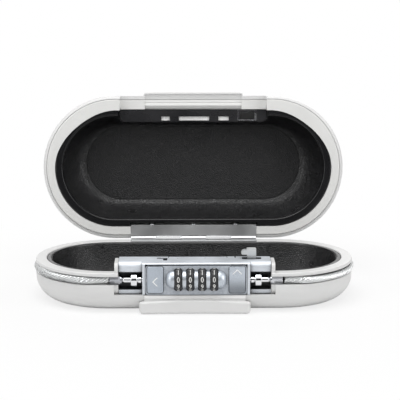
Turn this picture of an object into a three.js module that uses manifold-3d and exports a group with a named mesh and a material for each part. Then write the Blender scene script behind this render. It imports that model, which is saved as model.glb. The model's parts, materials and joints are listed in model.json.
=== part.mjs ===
// Portable car safe: two stadium-shaped clamshell halves with a rear hinge, a four-dial code lock set
// into the front, and a steel security cable wound round the base under its rim.
// Units are millimetres. +X is right, +Y is back, +Z is up. The origin is the middle of the base's underside.
// The lid stands open on its stop, as the safe is shown when it is in use.

import * as THREE from 'three';
import { mergeVertices } from 'three/addons/utils/BufferGeometryUtils.js';
import Module from 'manifold-3d';

const wasm = await Module();
wasm.setup();

// Driving dimensions of the two halves
const LENGTH = 240; // outline, end to end
const DEPTH = 114; // outline, front to back
const HALF_HEIGHT = 30.3; // each half, from its flat outer face to the parting plane
const SEAM = 0.3; // gap between the two rims when the lid is shut
const EDGE_FILLET = 14; // large round between the flat outer face and the wall
const WALL = 2.6; // moulded wall
const GAP = 0.3; // fit between neighbouring pieces
const OPEN_ANGLE = 98.4; // lid, from shut to resting on its stop

// Base rim, with the cable groove under its lip
const RING_WIDTH = 8;
const LIP_HEIGHT = 2.8;
const GROOVE_AIR = 0.6; // air between the lip and the cable
const RIM_SKIRT_DEPTH = 16; // how far the rim reaches down inside the shell
const RIM_WEB = 2.5; // wall between the cable groove and the inside
const CABLE_DIAMETER = 5.4;
const CABLE_PROUD = 1.4; // the cable stands this far out of the outline

// Lid rim
const LID_RING_INSET = 3;
const LID_RING_WIDTH = 6.5;
const LID_RIM_PLATE = 2.4;
const LID_SKIRT_DEPTH = 12;
const LID_SKIRT_WALL = 2;

// Liners: a flat lip, a sloped wall and a flat panel
const LINER_THICKNESS = 1.4;
const LINER_LIP = 3;
const BASE_PANEL_RADIUS = 35;
const BASE_PANEL_SHORTER = 2;
const LID_PANEL_RADIUS = 30;
const LID_PANEL_SHORTER = 6; // the panel's straight part is this much shorter at each end
const LID_PANEL_FORWARD = 3; // the lid's panel lies this far towards the front

// Lock
const FACE_X = 1; // middle of the lock's face
const LOCK_LENGTH = 110.8;
const LOCK_RISE = 7.3; // lock above the parting plane
const LOCK_DROP = 16.4; // lock below the parting plane
const LOCK_BACK = -35.5;
const FACE_FRONT = -56.5;
const WING_FRONT = -54;
const WING_RECESS_DEPTH = 7.7;
const WING_LEDGE = 3.4;
const WING_BAR = 7.3;
const PLATE_LENGTH = 73.8;
const PLATE_THICKNESS = 2.2;
const PLATE_RECESS = 2.5;
const FACE_FRAME = 1.9; // cast frame round the face plate
const PLATE_BORDER = 1;

// Dials
const DIAL_COUNT = 4;
const DIAL_PITCH = 8.65;
const DIAL_RADIUS = 8.8;
const DIAL_WIDTH = 6;
const DIAL_ROUND = 1.9;
const DIAL_AXIS_BEHIND_FACE = 3.2;
const DIAL_AXIS_BELOW_PARTING = 5;
const DIAL_BORE = 4.6;
const FINGER_GROOVES = 10; // one between each pair of digits
const GROOVE_DEPTH = 0.45;
const SPINDLE_RADIUS = 2;
const HUB_FLANGE_RADIUS = 5;
const HUB_FLANGE = 1.8;
const BARREL_MARGIN = 1.95; // flat face between the barrel's end and a button
const BARREL_RADIUS = 6.87;
const BARREL_AXIS_BEHIND_FACE = 2.07;
const BARREL_WALL = 1.9;

// Push buttons
const BUTTON_MARGIN = 1.25; // face plate beyond each button
const BUTTON_WIDTH = 11.9;
const BUTTON_HEIGHT = 19.8;
const BUTTON_PROUD = 0.9;
const BUTTON_TRAVEL = 2;
const BUTTON_CAP = 1.6;

// Code-change lever and the cover on the lock's back
const LEVER_INSIDE = 8.2; // slot inside the plate's left end
const LEVER_SLOT = 7.7;
const COVER_THICKNESS = 3.9;

// Cable ends
const PIN_Y = -51.5;
const PIN_SPACE = 0.5; // between the lock's face and the head of each cable pin
const PIN_NOSE_RADIUS = 1.8;
const PIN_NECK_RADIUS = 1.1;
const PIN_NOSE_LENGTH = 7.7;
const PIN_HEAD_RADIUS = 2.8;
const PIN_HEAD = 2.7;
const PIN_COLLAR_RADIUS = 4.4;
const PIN_COLLAR = 4.8;
const PIN_BARREL_RADIUS = 2.3;
const PIN_BARREL = 6.2;
const FERRULE_RADIUS = 2.95;
const FERRULE_LENGTH = 9.4;

// Latch hook
const HOOK_INSIDE = 1.9; // pivot inside the plate's right end
const HOOK_PIVOT_DROP = 6.3; // pivot below the parting plane
const HOOK_FRONT = -43.6;
const HOOK_THICKNESS = 4.6;
const HOOK_TURN = 11.5;
const HOOK_PIN_RADIUS = 1.5;
const HOOK_REACH = 13.4; // room to the right of the pivot
const HOOK_TAIL = 10.4; // to the left of the pivot
const HOOK_SWING = 7.6; // room below the pivot

// Hinge
const HINGE_OUT = 0.3; // hinge axis outside the outline
const KNUCKLE_RADIUS = 2.4;
const HINGE_PIN_RADIUS = 1.1;
const HINGE_LENGTH = 100;
const LEAF = 1;
const LEAF_HEIGHT = 15.5; // of the base's leaf
const HINGE_SCREWS = 3;

// Saddle that holds the lock, part of the base rim
const EAR = 2.6;
const SADDLE_WALL = 1.8;
const SADDLE_FLOOR = 1.5;

// Chin below the lock and brow above it
const CHIN_LENGTH = 81;
const CHIN_PROUD = 3;
const CHIN_HEIGHT = 8.9; // at its ends
const CHIN_ARCH = 1.7; // rise of its top edge from the ends to the middle
const CHIN_TUCK = 1.2; // its ends curve back this far
const LEDGE_LENGTH = 73.4;
const BROW_LENGTH = 80;
const BROW_HEIGHT = 18.5;
const BROW_LIP = 1.1; // edge of the brow left standing round its hollow
const BROW_HOLLOW = 1.5;
const ROOF_LIP = 1.2; // roof of the lid's notch, beyond the inside of the ring
const CHANNEL_BEFORE_LOCK_BACK = 0.4; // the channel ends this far in front of the lock's back
const CHANNEL_WALL = 1.1;

// Facets
const ARC_STEPS = 12; // on each half-round end of the outline
const FILLET_STEPS = 4;
const ROUND_STEPS = 14; // on a shaft or a bore
const HOLE_STEPS = 6; // on a screw and its hole
const WALL_STEPS = 4; // down the liner's curved wall
const CABLE_STEPS = 16; // on each bend of the cable

// Worked out from the driving dimensions
const endRadius = DEPTH / 2;
const straight = LENGTH / 2 - endRadius;
const baseTop = HALF_HEIGHT - SEAM / 2;
const lidFace = SEAM / 2;
const hingeY = endRadius + HINGE_OUT;
const lipUnder = baseTop - LIP_HEIGHT;
const cableRadius = CABLE_DIAMETER / 2;
const cableZ = lipUnder - GROOVE_AIR - cableRadius;
const cableR = endRadius + CABLE_PROUD - cableRadius;
const shelfZ = cableZ - cableRadius - GAP;
const grooveBack = cableR - cableRadius - GAP;
const rimInner = endRadius - RING_WIDTH;
const rimWebInner = grooveBack - RIM_WEB;
const rimBottom = baseTop - RIM_SKIRT_DEPTH;
const lidRimOuter = endRadius - LID_RING_INSET;
const lidRimInner = lidRimOuter - LID_RING_WIDTH;
const lockHalf = LOCK_LENGTH / 2;
const lockTop = HALF_HEIGHT + LOCK_RISE;
const lockBottom = HALF_HEIGHT - LOCK_DROP;
const saddleHalf = lockHalf + GAP + EAR;
const notchHalf = saddleHalf + GAP;
const notchDepth = LOCK_RISE + 2 * GAP;
const sill = lockBottom - GAP;
const plateHalf = PLATE_LENGTH / 2;
const faceHalf = plateHalf + GAP + FACE_FRAME;
const browHollowHalf = BROW_LENGTH / 2 - BROW_LIP;
const buttonOffset = plateHalf - BUTTON_MARGIN - BUTTON_WIDTH / 2;
const barrelLength = 2 * (buttonOffset - BUTTON_WIDTH / 2 - BARREL_MARGIN);
const pinStart = faceHalf + PIN_SPACE;
const hookX = FACE_X + plateHalf - HOOK_INSIDE;
const plateBottom = lockBottom + 0.1;
const plateTop = lockTop - 1.2;
const pocketFront = FACE_FRONT + PLATE_RECESS;
const dialY = FACE_FRONT + DIAL_AXIS_BEHIND_FACE;
const dialZ = HALF_HEIGHT - DIAL_AXIS_BELOW_PARTING;
const buttonZ = plateBottom + PLATE_BORDER + GAP + BUTTON_HEIGHT / 2;
const hookZ = HALF_HEIGHT - HOOK_PIVOT_DROP;
const hookBack = HOOK_FRONT + HOOK_THICKNESS;

// Materials, with the colours of the real finishes
function finish(colour, roughness, metalness) {
  return new THREE.MeshStandardMaterial({ color: colour, roughness, metalness });
}
const whitePlastic = finish(0xeceae6, 0.42, 0);
const blackLiner = finish(0x141416, 0.55, 0);
const blackPlastic = finish(0x101012, 0.35, 0);
const castZinc = finish(0xb4bcc6, 0.38, 0.85);
const chrome = finish(0xdfe3e8, 0.12, 1);
const steel = finish(0xa9adb2, 0.3, 1);
const darkSteel = finish(0x45484d, 0.35, 1);
const cableFinish = finish(0xb9bdbf, 0.3, 0.7);

// Solids: closed three.js geometries turned into solids that can be joined and cut
function signedVolume(position, index) {
  const a = new THREE.Vector3();
  const b = new THREE.Vector3();
  const c = new THREE.Vector3();
  let volume = 0;
  for (let i = 0; i < index.length; i += 3) {
    a.fromBufferAttribute(position, index[i]);
    b.fromBufferAttribute(position, index[i + 1]);
    c.fromBufferAttribute(position, index[i + 2]);
    volume += a.dot(b.cross(c)) / 6;
  }
  return volume;
}

function solid(geometry) {
  const bare = new THREE.BufferGeometry();
  bare.setAttribute('position', geometry.getAttribute('position').clone());
  if (geometry.index) bare.setIndex(geometry.index.clone());
  const merged = mergeVertices(bare, 1e-4);
  const position = merged.getAttribute('position');
  const kept = [];
  const source = merged.index.array;
  for (let i = 0; i < source.length; i += 3) {
    const [a, b, c] = [source[i], source[i + 1], source[i + 2]];
    if (a !== b && b !== c && c !== a) kept.push(a, b, c);
  }
  if (signedVolume(position, kept) < 0) kept.reverse();
  const mesh = new wasm.Mesh({
    numProp: 3,
    vertProperties: new Float32Array(position.array),
    triVerts: new Uint32Array(kept),
  });
  return new wasm.Manifold(mesh);
}

function join(first, ...others) {
  return others.reduce((whole, other) => whole.add(other), first);
}

function cut(first, ...others) {
  return others.reduce((whole, other) => whole.subtract(other), first);
}

function block(x0, x1, y0, y1, z0, z1) {
  const geometry = new THREE.BoxGeometry(x1 - x0, y1 - y0, z1 - z0);
  geometry.translate((x0 + x1) / 2, (y0 + y1) / 2, (z0 + z1) / 2);
  return solid(geometry);
}

// A closed profile of [along, radius] points turned about an axis along X
function turnedX(profile, y, z, steps = ROUND_STEPS) {
  const points = profile.map(([along, radius]) => new THREE.Vector2(radius, along));
  points.push(points[0].clone());
  const geometry = new THREE.LatheGeometry(points, steps);
  geometry.rotateZ(-Math.PI / 2);
  geometry.translate(0, y, z);
  return solid(geometry);
}

function rodX(x0, x1, y, z, radius, steps = ROUND_STEPS) {
  return turnedX([[x0, 0], [x0, radius], [x1, radius], [x1, 0]], y, z, steps);
}

function rodY(x, y0, y1, z, radius, steps = ROUND_STEPS) {
  const geometry = new THREE.CylinderGeometry(radius, radius, y1 - y0, steps);
  geometry.translate(x, (y0 + y1) / 2, z);
  return solid(geometry);
}

// An outline drawn in X and Z, extruded from y0 to y1
function prismY(shape, y0, y1, curveSteps = 6) {
  const settings = { depth: y1 - y0, bevelEnabled: false, curveSegments: curveSteps };
  const geometry = new THREE.ExtrudeGeometry(shape, settings);
  geometry.rotateX(Math.PI / 2);
  geometry.translate(0, y1, 0);
  return solid(geometry);
}

// An outline drawn in Y and Z, extruded from x0 to x1
function prismX(shape, x0, x1, curveSteps = 6) {
  const settings = { depth: x1 - x0, bevelEnabled: false, curveSegments: curveSteps };
  const geometry = new THREE.ExtrudeGeometry(shape, settings);
  geometry.applyMatrix4(new THREE.Matrix4().set(0, 0, 1, x0, 1, 0, 0, 0, 0, 1, 0, 0, 0, 0, 0, 1));
  return solid(geometry);
}

function outline(points) {
  return new THREE.Shape(points.map(([u, v]) => new THREE.Vector2(u, v)));
}

function roundedRectangle(x0, x1, z0, z1, radius) {
  const shape = new THREE.Shape();
  shape.moveTo(x0 + radius, z0);
  shape.lineTo(x1 - radius, z0);
  shape.absarc(x1 - radius, z0 + radius, radius, -Math.PI / 2, 0);
  shape.lineTo(x1, z1 - radius);
  shape.absarc(x1 - radius, z1 - radius, radius, 0, Math.PI / 2);
  shape.lineTo(x0 + radius, z1);
  shape.absarc(x0 + radius, z1 - radius, radius, Math.PI / 2, Math.PI);
  shape.lineTo(x0, z0 + radius);
  shape.absarc(x0 + radius, z0 + radius, radius, Math.PI, 1.5 * Math.PI);
  return shape;
}

// Rings of points stitched one to the next. The ends are capped, or joined when the rings run round.
function loft(rings, runsRound = false) {
  const count = rings[0].length;
  const positions = rings.flat().flatMap((point) => [point.x, point.y, point.z]);
  const index = [];
  const last = runsRound ? rings.length : rings.length - 1;
  for (let i = 0; i < last; i += 1) {
    const here = i * count;
    const there = ((i + 1) % rings.length) * count;
    for (let j = 0; j < count; j += 1) {
      const next = (j + 1) % count;
      index.push(here + j, here + next, there + next, here + j, there + next, there + j);
    }
  }
  if (!runsRound) {
    [0, rings.length - 1].forEach((i) => {
      const flat = flatten(rings[i]);
      const faces = THREE.ShapeUtils.triangulateShape(flat, []);
      const base = i * count;
      faces.forEach(([a, b, c]) => {
        if (i === 0) index.push(base + a, base + c, base + b);
        else index.push(base + a, base + b, base + c);
      });
    });
  }
  const geometry = new THREE.BufferGeometry();
  geometry.setAttribute('position', new THREE.Float32BufferAttribute(positions, 3));
  geometry.setIndex(index);
  return solid(geometry);
}

// A flat ring of points seen square on, as the cap's outline
function flatten(ring) {
  const normal = new THREE.Vector3();
  ring.forEach((point, i) => {
    const next = ring[(i + 1) % ring.length];
    normal.add(new THREE.Vector3().crossVectors(point, next));
  });
  normal.normalize();
  const side = Math.abs(normal.x) > 0.9 ? new THREE.Vector3(0, 1, 0) : new THREE.Vector3(1, 0, 0);
  const across = side.sub(normal.clone().multiplyScalar(side.dot(normal))).normalize();
  const up = new THREE.Vector3().crossVectors(normal, across);
  return ring.map((point) => new THREE.Vector2(point.dot(across), point.dot(up)));
}

// The stadium outline at one level: two half-round ends of this radius, joined by straight sides
function stadiumRing(radius, z, half = straight, forward = 0) {
  const ring = [];
  [1, -1].forEach((side) => {
    for (let i = 0; i <= ARC_STEPS; i += 1) {
      const angle = (i / ARC_STEPS - 0.5) * Math.PI;
      const x = side * (half + radius * Math.cos(angle));
      ring.push(new THREE.Vector3(x, side * radius * Math.sin(angle) - forward, z));
    }
  });
  return ring;
}

// A section of [radius, z] points carried round the stadium outline
function stadiumSolid(section, runsRound = false) {
  return loft(section.map(([radius, z, half, forward]) => stadiumRing(radius, z, half, forward)), runsRound);
}

// A quarter round in the section, from one direction to the next
function quarter(centreR, centreZ, radius, from, to, steps = FILLET_STEPS) {
  const points = [];
  for (let i = 0; i <= steps; i += 1) {
    const angle = THREE.MathUtils.degToRad(from + ((to - from) * i) / steps);
    points.push([centreR + radius * Math.cos(angle), centreZ + radius * Math.sin(angle)]);
  }
  return points;
}

function piece(group, name, manifold, material) {
  const made = manifold.getMesh();
  const geometry = new THREE.BufferGeometry();
  geometry.setAttribute('position', new THREE.Float32BufferAttribute(made.vertProperties, 3));
  geometry.setIndex(new THREE.Uint32BufferAttribute(made.triVerts, 1));
  geometry.computeVertexNormals();
  const mesh = new THREE.Mesh(geometry, material);
  mesh.name = name;
  group.add(mesh);
  return mesh;
}

// Base shell: the white lower moulding, cut away at the front for the lock, with the chin below it
function chinRing(x, half) {
  const lift = CHIN_ARCH * (1 - (x / half) ** 2);
  const foot = lift * 0.55;
  const front = -(endRadius + CHIN_PROUD) + (Math.abs(x) > half - 0.1 ? CHIN_TUCK : 0);
  const wallY = -(endRadius - WALL / 2);
  const points = [
    [-(endRadius - EDGE_FILLET) - 1, 0],
    [front + 1.4, foot * 0.5],
    [front + 0.4, 0.4 + foot],
    [front, 1.4 + foot],
    [front, CHIN_HEIGHT - 1.3 + lift],
    [front + 0.4, CHIN_HEIGHT - 0.4 + lift],
    [front + 1.2, CHIN_HEIGHT + lift],
    [wallY, CHIN_HEIGHT + lift],
    [wallY + 3.2, 5.2],
    [wallY + 7.7, 2.2],
    [wallY + 11.5, 1.3],
  ];
  return points.map(([y, z]) => new THREE.Vector3(x, y, z));
}

// Rings along X, closer together towards the ends, where the piece curves most
function arched(length, ring) {
  const half = length / 2;
  const rings = [];
  const steps = 8;
  for (let i = 0; i <= steps; i += 1) rings.push(ring(half * Math.sin((i / steps - 0.5) * Math.PI), half));
  return loft(rings);
}

function baseShell() {
  const inner = endRadius - WALL;
  const innerFillet = EDGE_FILLET - WALL;
  const corner = endRadius - EDGE_FILLET;
  const section = [
    ...quarter(corner, EDGE_FILLET, EDGE_FILLET, -90, 0),
    [endRadius, shelfZ - 0.4],
    [endRadius - 0.4, shelfZ],
    [inner, shelfZ],
    ...quarter(corner, EDGE_FILLET, innerFillet, 0, -90),
  ];
  const chin = arched(CHIN_LENGTH, chinRing);
  const ledgeFront = -(endRadius + CHIN_PROUD) + 1.3;
  const ledge = prismX(outline([
    [ledgeFront, CHIN_HEIGHT - 1],
    [FACE_FRONT - 0.8, sill],
    [-(endRadius - WALL) - 0.1, sill],
    [-(endRadius - WALL) - 0.1, CHIN_HEIGHT - 1],
  ]), -LEDGE_LENGTH / 2, LEDGE_LENGTH / 2);
  const lockGap = block(-notchHalf, notchHalf, -endRadius - 1, LOCK_BACK, sill, HALF_HEIGHT);
  return join(cut(stadiumSolid(section), lockGap), chin, ledge);
}

// Base rim: the white ring with its lip over the cable groove, and the saddle that holds the lock
function baseRim() {
  const skirtOuter = endRadius - WALL - GAP;
  const ring = stadiumSolid([
    [rimInner, baseTop - 0.5],
    [rimInner, baseTop - 2.6],
    [rimWebInner, baseTop - 3.2],
    [rimWebInner, rimBottom],
    [skirtOuter - 1.5, rimBottom],
    [skirtOuter, rimBottom + 2],
    [skirtOuter, shelfZ],
    [grooveBack, shelfZ],
    [grooveBack, lipUnder],
    [endRadius - 0.5, lipUnder],
    [endRadius, lipUnder + 0.5],
    [endRadius, baseTop - 0.6],
    [endRadius - 0.6, baseTop],
    [rimInner + 0.5, baseTop],
  ], true);
  const saddleBack = LOCK_BACK + GAP + SADDLE_WALL;
  const skirtFront = -(skirtOuter - 0.5);
  const saddle = join(
    block(-saddleHalf, saddleHalf, -rimWebInner - 1, saddleBack, sill - SADDLE_FLOOR, baseTop),
    block(-saddleHalf, saddleHalf, skirtFront, -rimWebInner, sill - SADDLE_FLOOR, sill),
  );
  const earShape = outline([
    [-endRadius + 0.6, lipUnder],
    [-endRadius + 0.6, lockTop - 4.4],
    [-endRadius + 1.8, lockTop - 1.6],
    [-endRadius + 4.2, lockTop - 0.4],
    [LOCK_BACK - 2.4, lockTop - 0.4],
    [LOCK_BACK - 0.6, lockTop - 2.2],
    [LOCK_BACK + GAP + SADDLE_WALL, baseTop - 0.1],
    [LOCK_BACK + GAP + SADDLE_WALL, lipUnder],
  ]);
  const ears = [-1, 1].map((side) => {
    const inner = side * (lockHalf + GAP);
    return prismX(earShape, Math.min(inner, side * saddleHalf), Math.max(inner, side * saddleHalf));
  });
  const lockSpace = block(
    -lockHalf - GAP, lockHalf + GAP, -endRadius - 1, LOCK_BACK + GAP, sill, lockTop + 1,
  );
  const route = cableRoute();
  const leadIn = 7; // points of the route between each ferrule and the groove
  const cableWays = [route.slice(0, leadIn), route.slice(-leadIn)].map(
    (points) => tubeAlong(points, cableRadius + 2 * GAP, 8),
  );
  const ferruleWay = block(
    FACE_X - ferruleEnd - 2, FACE_X + ferruleEnd + 2, -endRadius - 1, PIN_Y + FERRULE_RADIUS + GAP,
    cableZ - FERRULE_RADIUS - GAP, lipUnder,
  );
  const screwHoles = lockScrewPlaces().map(([x, z]) => rodY(x, LOCK_BACK, saddleBack + 1, z, 1.6, HOLE_STEPS));
  return cut(join(ring, saddle, ...ears), lockSpace, ferruleWay, ...cableWays, ...screwHoles, baseHingePocket());
}

// Liners: thermoformed black sheet that covers the inside of each half
function linerSection(lipRadius, panelRadius, panelHalf, depth, forward, thickness) {
  const top = 0.6 + thickness;
  const start = new THREE.Vector2(lipRadius - LINER_LIP - 0.9, 1.1);
  const end = new THREE.Vector2(panelRadius, depth);
  const bend = new THREE.Vector2(panelRadius + (start.x - end.x) * 0.55, depth - 1.2);
  const wall = new THREE.QuadraticBezierCurve(start, bend, end).getPoints(WALL_STEPS);
  const shaped = (point, push) => {
    const share = (start.x - point.x) / (start.x - end.x);
    const half = straight + (panelHalf - straight) * share;
    return [point.x + push * (1 - share) * 0.9, point.y + push * share, half, forward * share];
  };
  const visible = wall.map((point) => shaped(point, 0)).reverse();
  const hidden = wall.map((point) => shaped(point, thickness));
  return [
    ...visible,
    [lipRadius - LINER_LIP - 0.7, 1.5, straight, 0],
    [lipRadius - LINER_LIP - 0.3, 1.5, straight, 0],
    [lipRadius - LINER_LIP, 0.8, straight, 0],
    [lipRadius - LINER_LIP + 0.5, 0.5, straight, 0],
    [lipRadius - 0.5, 0.5, straight, 0],
    [lipRadius, 0.9, straight, 0],
    [lipRadius, top, straight, 0],
    [lipRadius - LINER_LIP + thickness, top + 0.3, straight, 0],
    ...hidden,
  ];
}

function linerInside(lipRadius, panelRadius, panelHalf, depth, forward) {
  const section = linerSection(lipRadius, panelRadius, panelHalf, depth, forward, LINER_THICKNESS);
  const inside = section.slice(0, WALL_STEPS + 1).map(([r, z, half, shift]) => [r - GAP, z - GAP, half, shift]);
  inside.push([inside[WALL_STEPS][0], -1, straight, 0]);
  return stadiumSolid(inside);
}

function baseLiner() {
  const depth = HALF_HEIGHT - WALL - GAP - LINER_THICKNESS;
  const section = linerSection(
    rimInner - GAP, BASE_PANEL_RADIUS, straight - BASE_PANEL_SHORTER, depth, 0, LINER_THICKNESS,
  );
  const liner = stadiumSolid(section.map(([r, z, half, shift]) => [r, HALF_HEIGHT - z, half, shift]));
  const saddleBack = LOCK_BACK + GAP + SADDLE_WALL + GAP;
  const saddleGap = block(
    -saddleHalf - GAP, saddleHalf + GAP, -endRadius, saddleBack, sill - SADDLE_FLOOR - GAP, HALF_HEIGHT,
  );
  const screwRoom = lockScrewPlaces().map(([x, z]) => rodY(x, LOCK_BACK, saddleBack + 3, z, 3.2, 12));
  const hingeRoom = block(
    -HINGE_LENGTH / 2 - 1, HINGE_LENGTH / 2 + 1, rimInner - 2.2, endRadius, HALF_HEIGHT - LEAF_HEIGHT + 1.5, HALF_HEIGHT,
  );
  return cut(liner, saddleGap, ...screwRoom, hingeRoom);
}

// Screws that hold the lock, driven from inside the base through the saddle
function lockScrewPlaces() {
  const x = lockHalf - 3.6;
  return [[-x, sill + 4.9], [-x, sill + 13.4], [x, sill + 4.9], [x, sill + 13.4]];
}

function panScrew(x, z, from, headRadius, head, shankRadius, length) {
  return join(
    rodY(x, from, from + head, z, headRadius, 10),
    rodY(x, from - length, from + 0.2, z, shankRadius, HOLE_STEPS),
  );
}

function lockScrew([x, z]) {
  return panScrew(x, z, LOCK_BACK + GAP + SADDLE_WALL + GAP, 2.6, 1.6, 1.2, 9);
}

// Hinge: a leaf on each rim, bent down inside it, with knuckles on a common pin
const knuckleEdges = [-HINGE_LENGTH / 2, -0.3 * HINGE_LENGTH, -0.1 * HINGE_LENGTH,
  0.1 * HINGE_LENGTH, 0.3 * HINGE_LENGTH, HINGE_LENGTH / 2];

function knuckleSpans(first) {
  const spans = [];
  for (let i = first; i < knuckleEdges.length - 1; i += 2) {
    spans.push([knuckleEdges[i] + GAP / 2, knuckleEdges[i + 1] - GAP / 2]);
  }
  return spans;
}

function hingeScrewPlaces() {
  const places = [];
  for (let i = 0; i < HINGE_SCREWS; i += 1) {
    places.push(HINGE_LENGTH * ((i + 0.5) / HINGE_SCREWS - 0.5));
  }
  return places;
}

// axisZ is the hinge axis in the half's own frame, side is +1 where the half lies above it, -1 below
function hingeLeaf(innerFace, axisZ, side, flangeDepth, first) {
  const reach = HINGE_LENGTH / 2;
  const faceZ = axisZ + side * (SEAM / 2 + 0.1);
  const farZ = faceZ + side * LEAF;
  const plate = block(-reach, reach, innerFace - GAP - LEAF, hingeY, Math.min(faceZ, farZ), Math.max(faceZ, farZ));
  const flangeEnd = faceZ + side * flangeDepth;
  const flange = block(
    -reach, reach, innerFace - GAP - LEAF, innerFace - GAP,
    Math.min(faceZ, flangeEnd), Math.max(faceZ, flangeEnd),
  );
  const knuckles = knuckleSpans(first).map(([x0, x1]) => rodX(x0, x1, hingeY, axisZ, KNUCKLE_RADIUS, 12));
  const room = knuckleSpans(1 - first).map(
    ([x0, x1]) => rodX(x0 - GAP, x1 + GAP, hingeY, axisZ, KNUCKLE_RADIUS + 0.5, 10),
  );
  const bore = rodX(-reach - 1, reach + 1, hingeY, axisZ, HINGE_PIN_RADIUS + GAP, HOLE_STEPS);
  const ends = [-1, 1].map((end) => {
    const trimmed = first === 1 ? 0.2 * HINGE_LENGTH : 0;
    const x = end * (reach - trimmed);
    return block(Math.min(x, end * (reach + 1)), Math.max(x, end * (reach + 1)),
      hingeY - KNUCKLE_RADIUS - 0.4, hingeY + KNUCKLE_RADIUS, axisZ - KNUCKLE_RADIUS, axisZ + KNUCKLE_RADIUS);
  });
  return cut(cut(plate.add(flange), ...room, ...ends).add(join(...knuckles)), bore);
}

const baseHingeScrewZ = shelfZ - 3.2;
const lidHingeScrewZ = lidFace + 3.1;

function baseHingeLeaf() {
  const leaf = hingeLeaf(rimWebInner, HALF_HEIGHT, -1, LEAF_HEIGHT, 0);
  const holes = hingeScrewPlaces().map((x) => rodY(x, rimInner - 3, endRadius, baseHingeScrewZ, 1.2, HOLE_STEPS));
  return cut(leaf, ...holes);
}

function baseHingeScrew(x) {
  const seat = rimWebInner - GAP - LEAF - 0.1;
  return join(
    rodY(x, seat - 0.8, seat, baseHingeScrewZ, 1.9, 10),
    rodY(x, seat - 0.2, seat + 4.6, baseHingeScrewZ, 0.9, HOLE_STEPS),
  );
}

function baseHingePocket() {
  const reach = HINGE_LENGTH / 2 + GAP;
  return join(
    block(-reach, reach, rimInner - 1, endRadius + 1, baseTop - 0.1 - LEAF - GAP, baseTop + 1),
    block(-reach, reach, rimInner - 1, rimWebInner, baseTop - LEAF_HEIGHT - 1.5, baseTop + 1),
    rodX(-reach, reach, hingeY, HALF_HEIGHT, KNUCKLE_RADIUS + 0.5, 12),
    ...hingeScrewPlaces().map((x) => rodY(x, rimInner - 1, rimWebInner + 4, baseHingeScrewZ, 1.2, HOLE_STEPS)),
  );
}

function hingePin() {
  return rodX(-HINGE_LENGTH / 2 + 0.2, HINGE_LENGTH / 2 - 0.2, hingeY, HALF_HEIGHT, HINGE_PIN_RADIUS, 12);
}

// Security cable: wound once round the base in its groove, its ends led in to the lock's recesses
const ferruleEnd = pinStart + PIN_HEAD + 0.5 + PIN_COLLAR + PIN_BARREL + FERRULE_LENGTH;

function cableRoute() {
  const left = FACE_X - ferruleEnd - GAP;
  const right = FACE_X + ferruleEnd + GAP;
  const lead = THREE.MathUtils.degToRad(24); // where the cable leaves the groove for the lock
  const points = [];
  const arc = (side, from, to, steps) => {
    for (let i = 0; i <= steps; i += 1) {
      const angle = from + ((to - from) * i) / steps;
      const x = side * (straight + cableR * Math.cos(angle));
      points.push(new THREE.Vector3(x, cableR * Math.sin(angle), cableZ));
    }
  };
  const offX = straight + cableR * Math.sin(lead);
  const offY = -cableR * Math.cos(lead);
  points.push(new THREE.Vector3(left, PIN_Y, cableZ));
  points.push(new THREE.Vector3(left - 4, PIN_Y - 0.15, cableZ));
  points.push(new THREE.Vector3((left - 4 - offX) / 2, (PIN_Y + offY) / 2 - 0.9, cableZ));
  arc(-1, lead - Math.PI / 2, Math.PI / 2, CABLE_STEPS);
  arc(1, Math.PI / 2, lead - Math.PI / 2, CABLE_STEPS);
  points.push(new THREE.Vector3((right + 4 + offX) / 2, (PIN_Y + offY) / 2 - 0.9, cableZ));
  points.push(new THREE.Vector3(right + 4, PIN_Y - 0.15, cableZ));
  points.push(new THREE.Vector3(right, PIN_Y, cableZ));
  return points;
}

// Rings of a round tube carried along a flat route, each ring square to the route
function tubeAlong(points, radius, sides) {
  const rings = points.map((point, i) => {
    const before = points[Math.max(i - 1, 0)];
    const after = points[Math.min(i + 1, points.length - 1)];
    const along = after.clone().sub(before).normalize();
    const up = new THREE.Vector3(0, 0, 1);
    const across = new THREE.Vector3().crossVectors(along, up).normalize();
    const ring = [];
    for (let j = 0; j < sides; j += 1) {
      const angle = (2 * Math.PI * (j + 0.5)) / sides;
      ring.push(point.clone()
        .addScaledVector(across, radius * Math.cos(angle))
        .addScaledVector(up, radius * Math.sin(angle)));
    }
    return ring;
  });
  return loft(rings);
}

function securityCable() {
  return tubeAlong(cableRoute(), cableRadius, 8);
}

// side is -1 for the left end of the cable and +1 for the right end
function cableFerrule(side) {
  const start = FACE_X + side * (ferruleEnd - FERRULE_LENGTH);
  const end = FACE_X + side * ferruleEnd;
  const profile = [[start, 0], [start, FERRULE_RADIUS - 0.4], [start + side * 0.4, FERRULE_RADIUS],
    [end - side * 0.6, FERRULE_RADIUS], [end, FERRULE_RADIUS - 0.4], [end, 0]];
  return turnedX(profile, PIN_Y, cableZ, 10);
}

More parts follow.
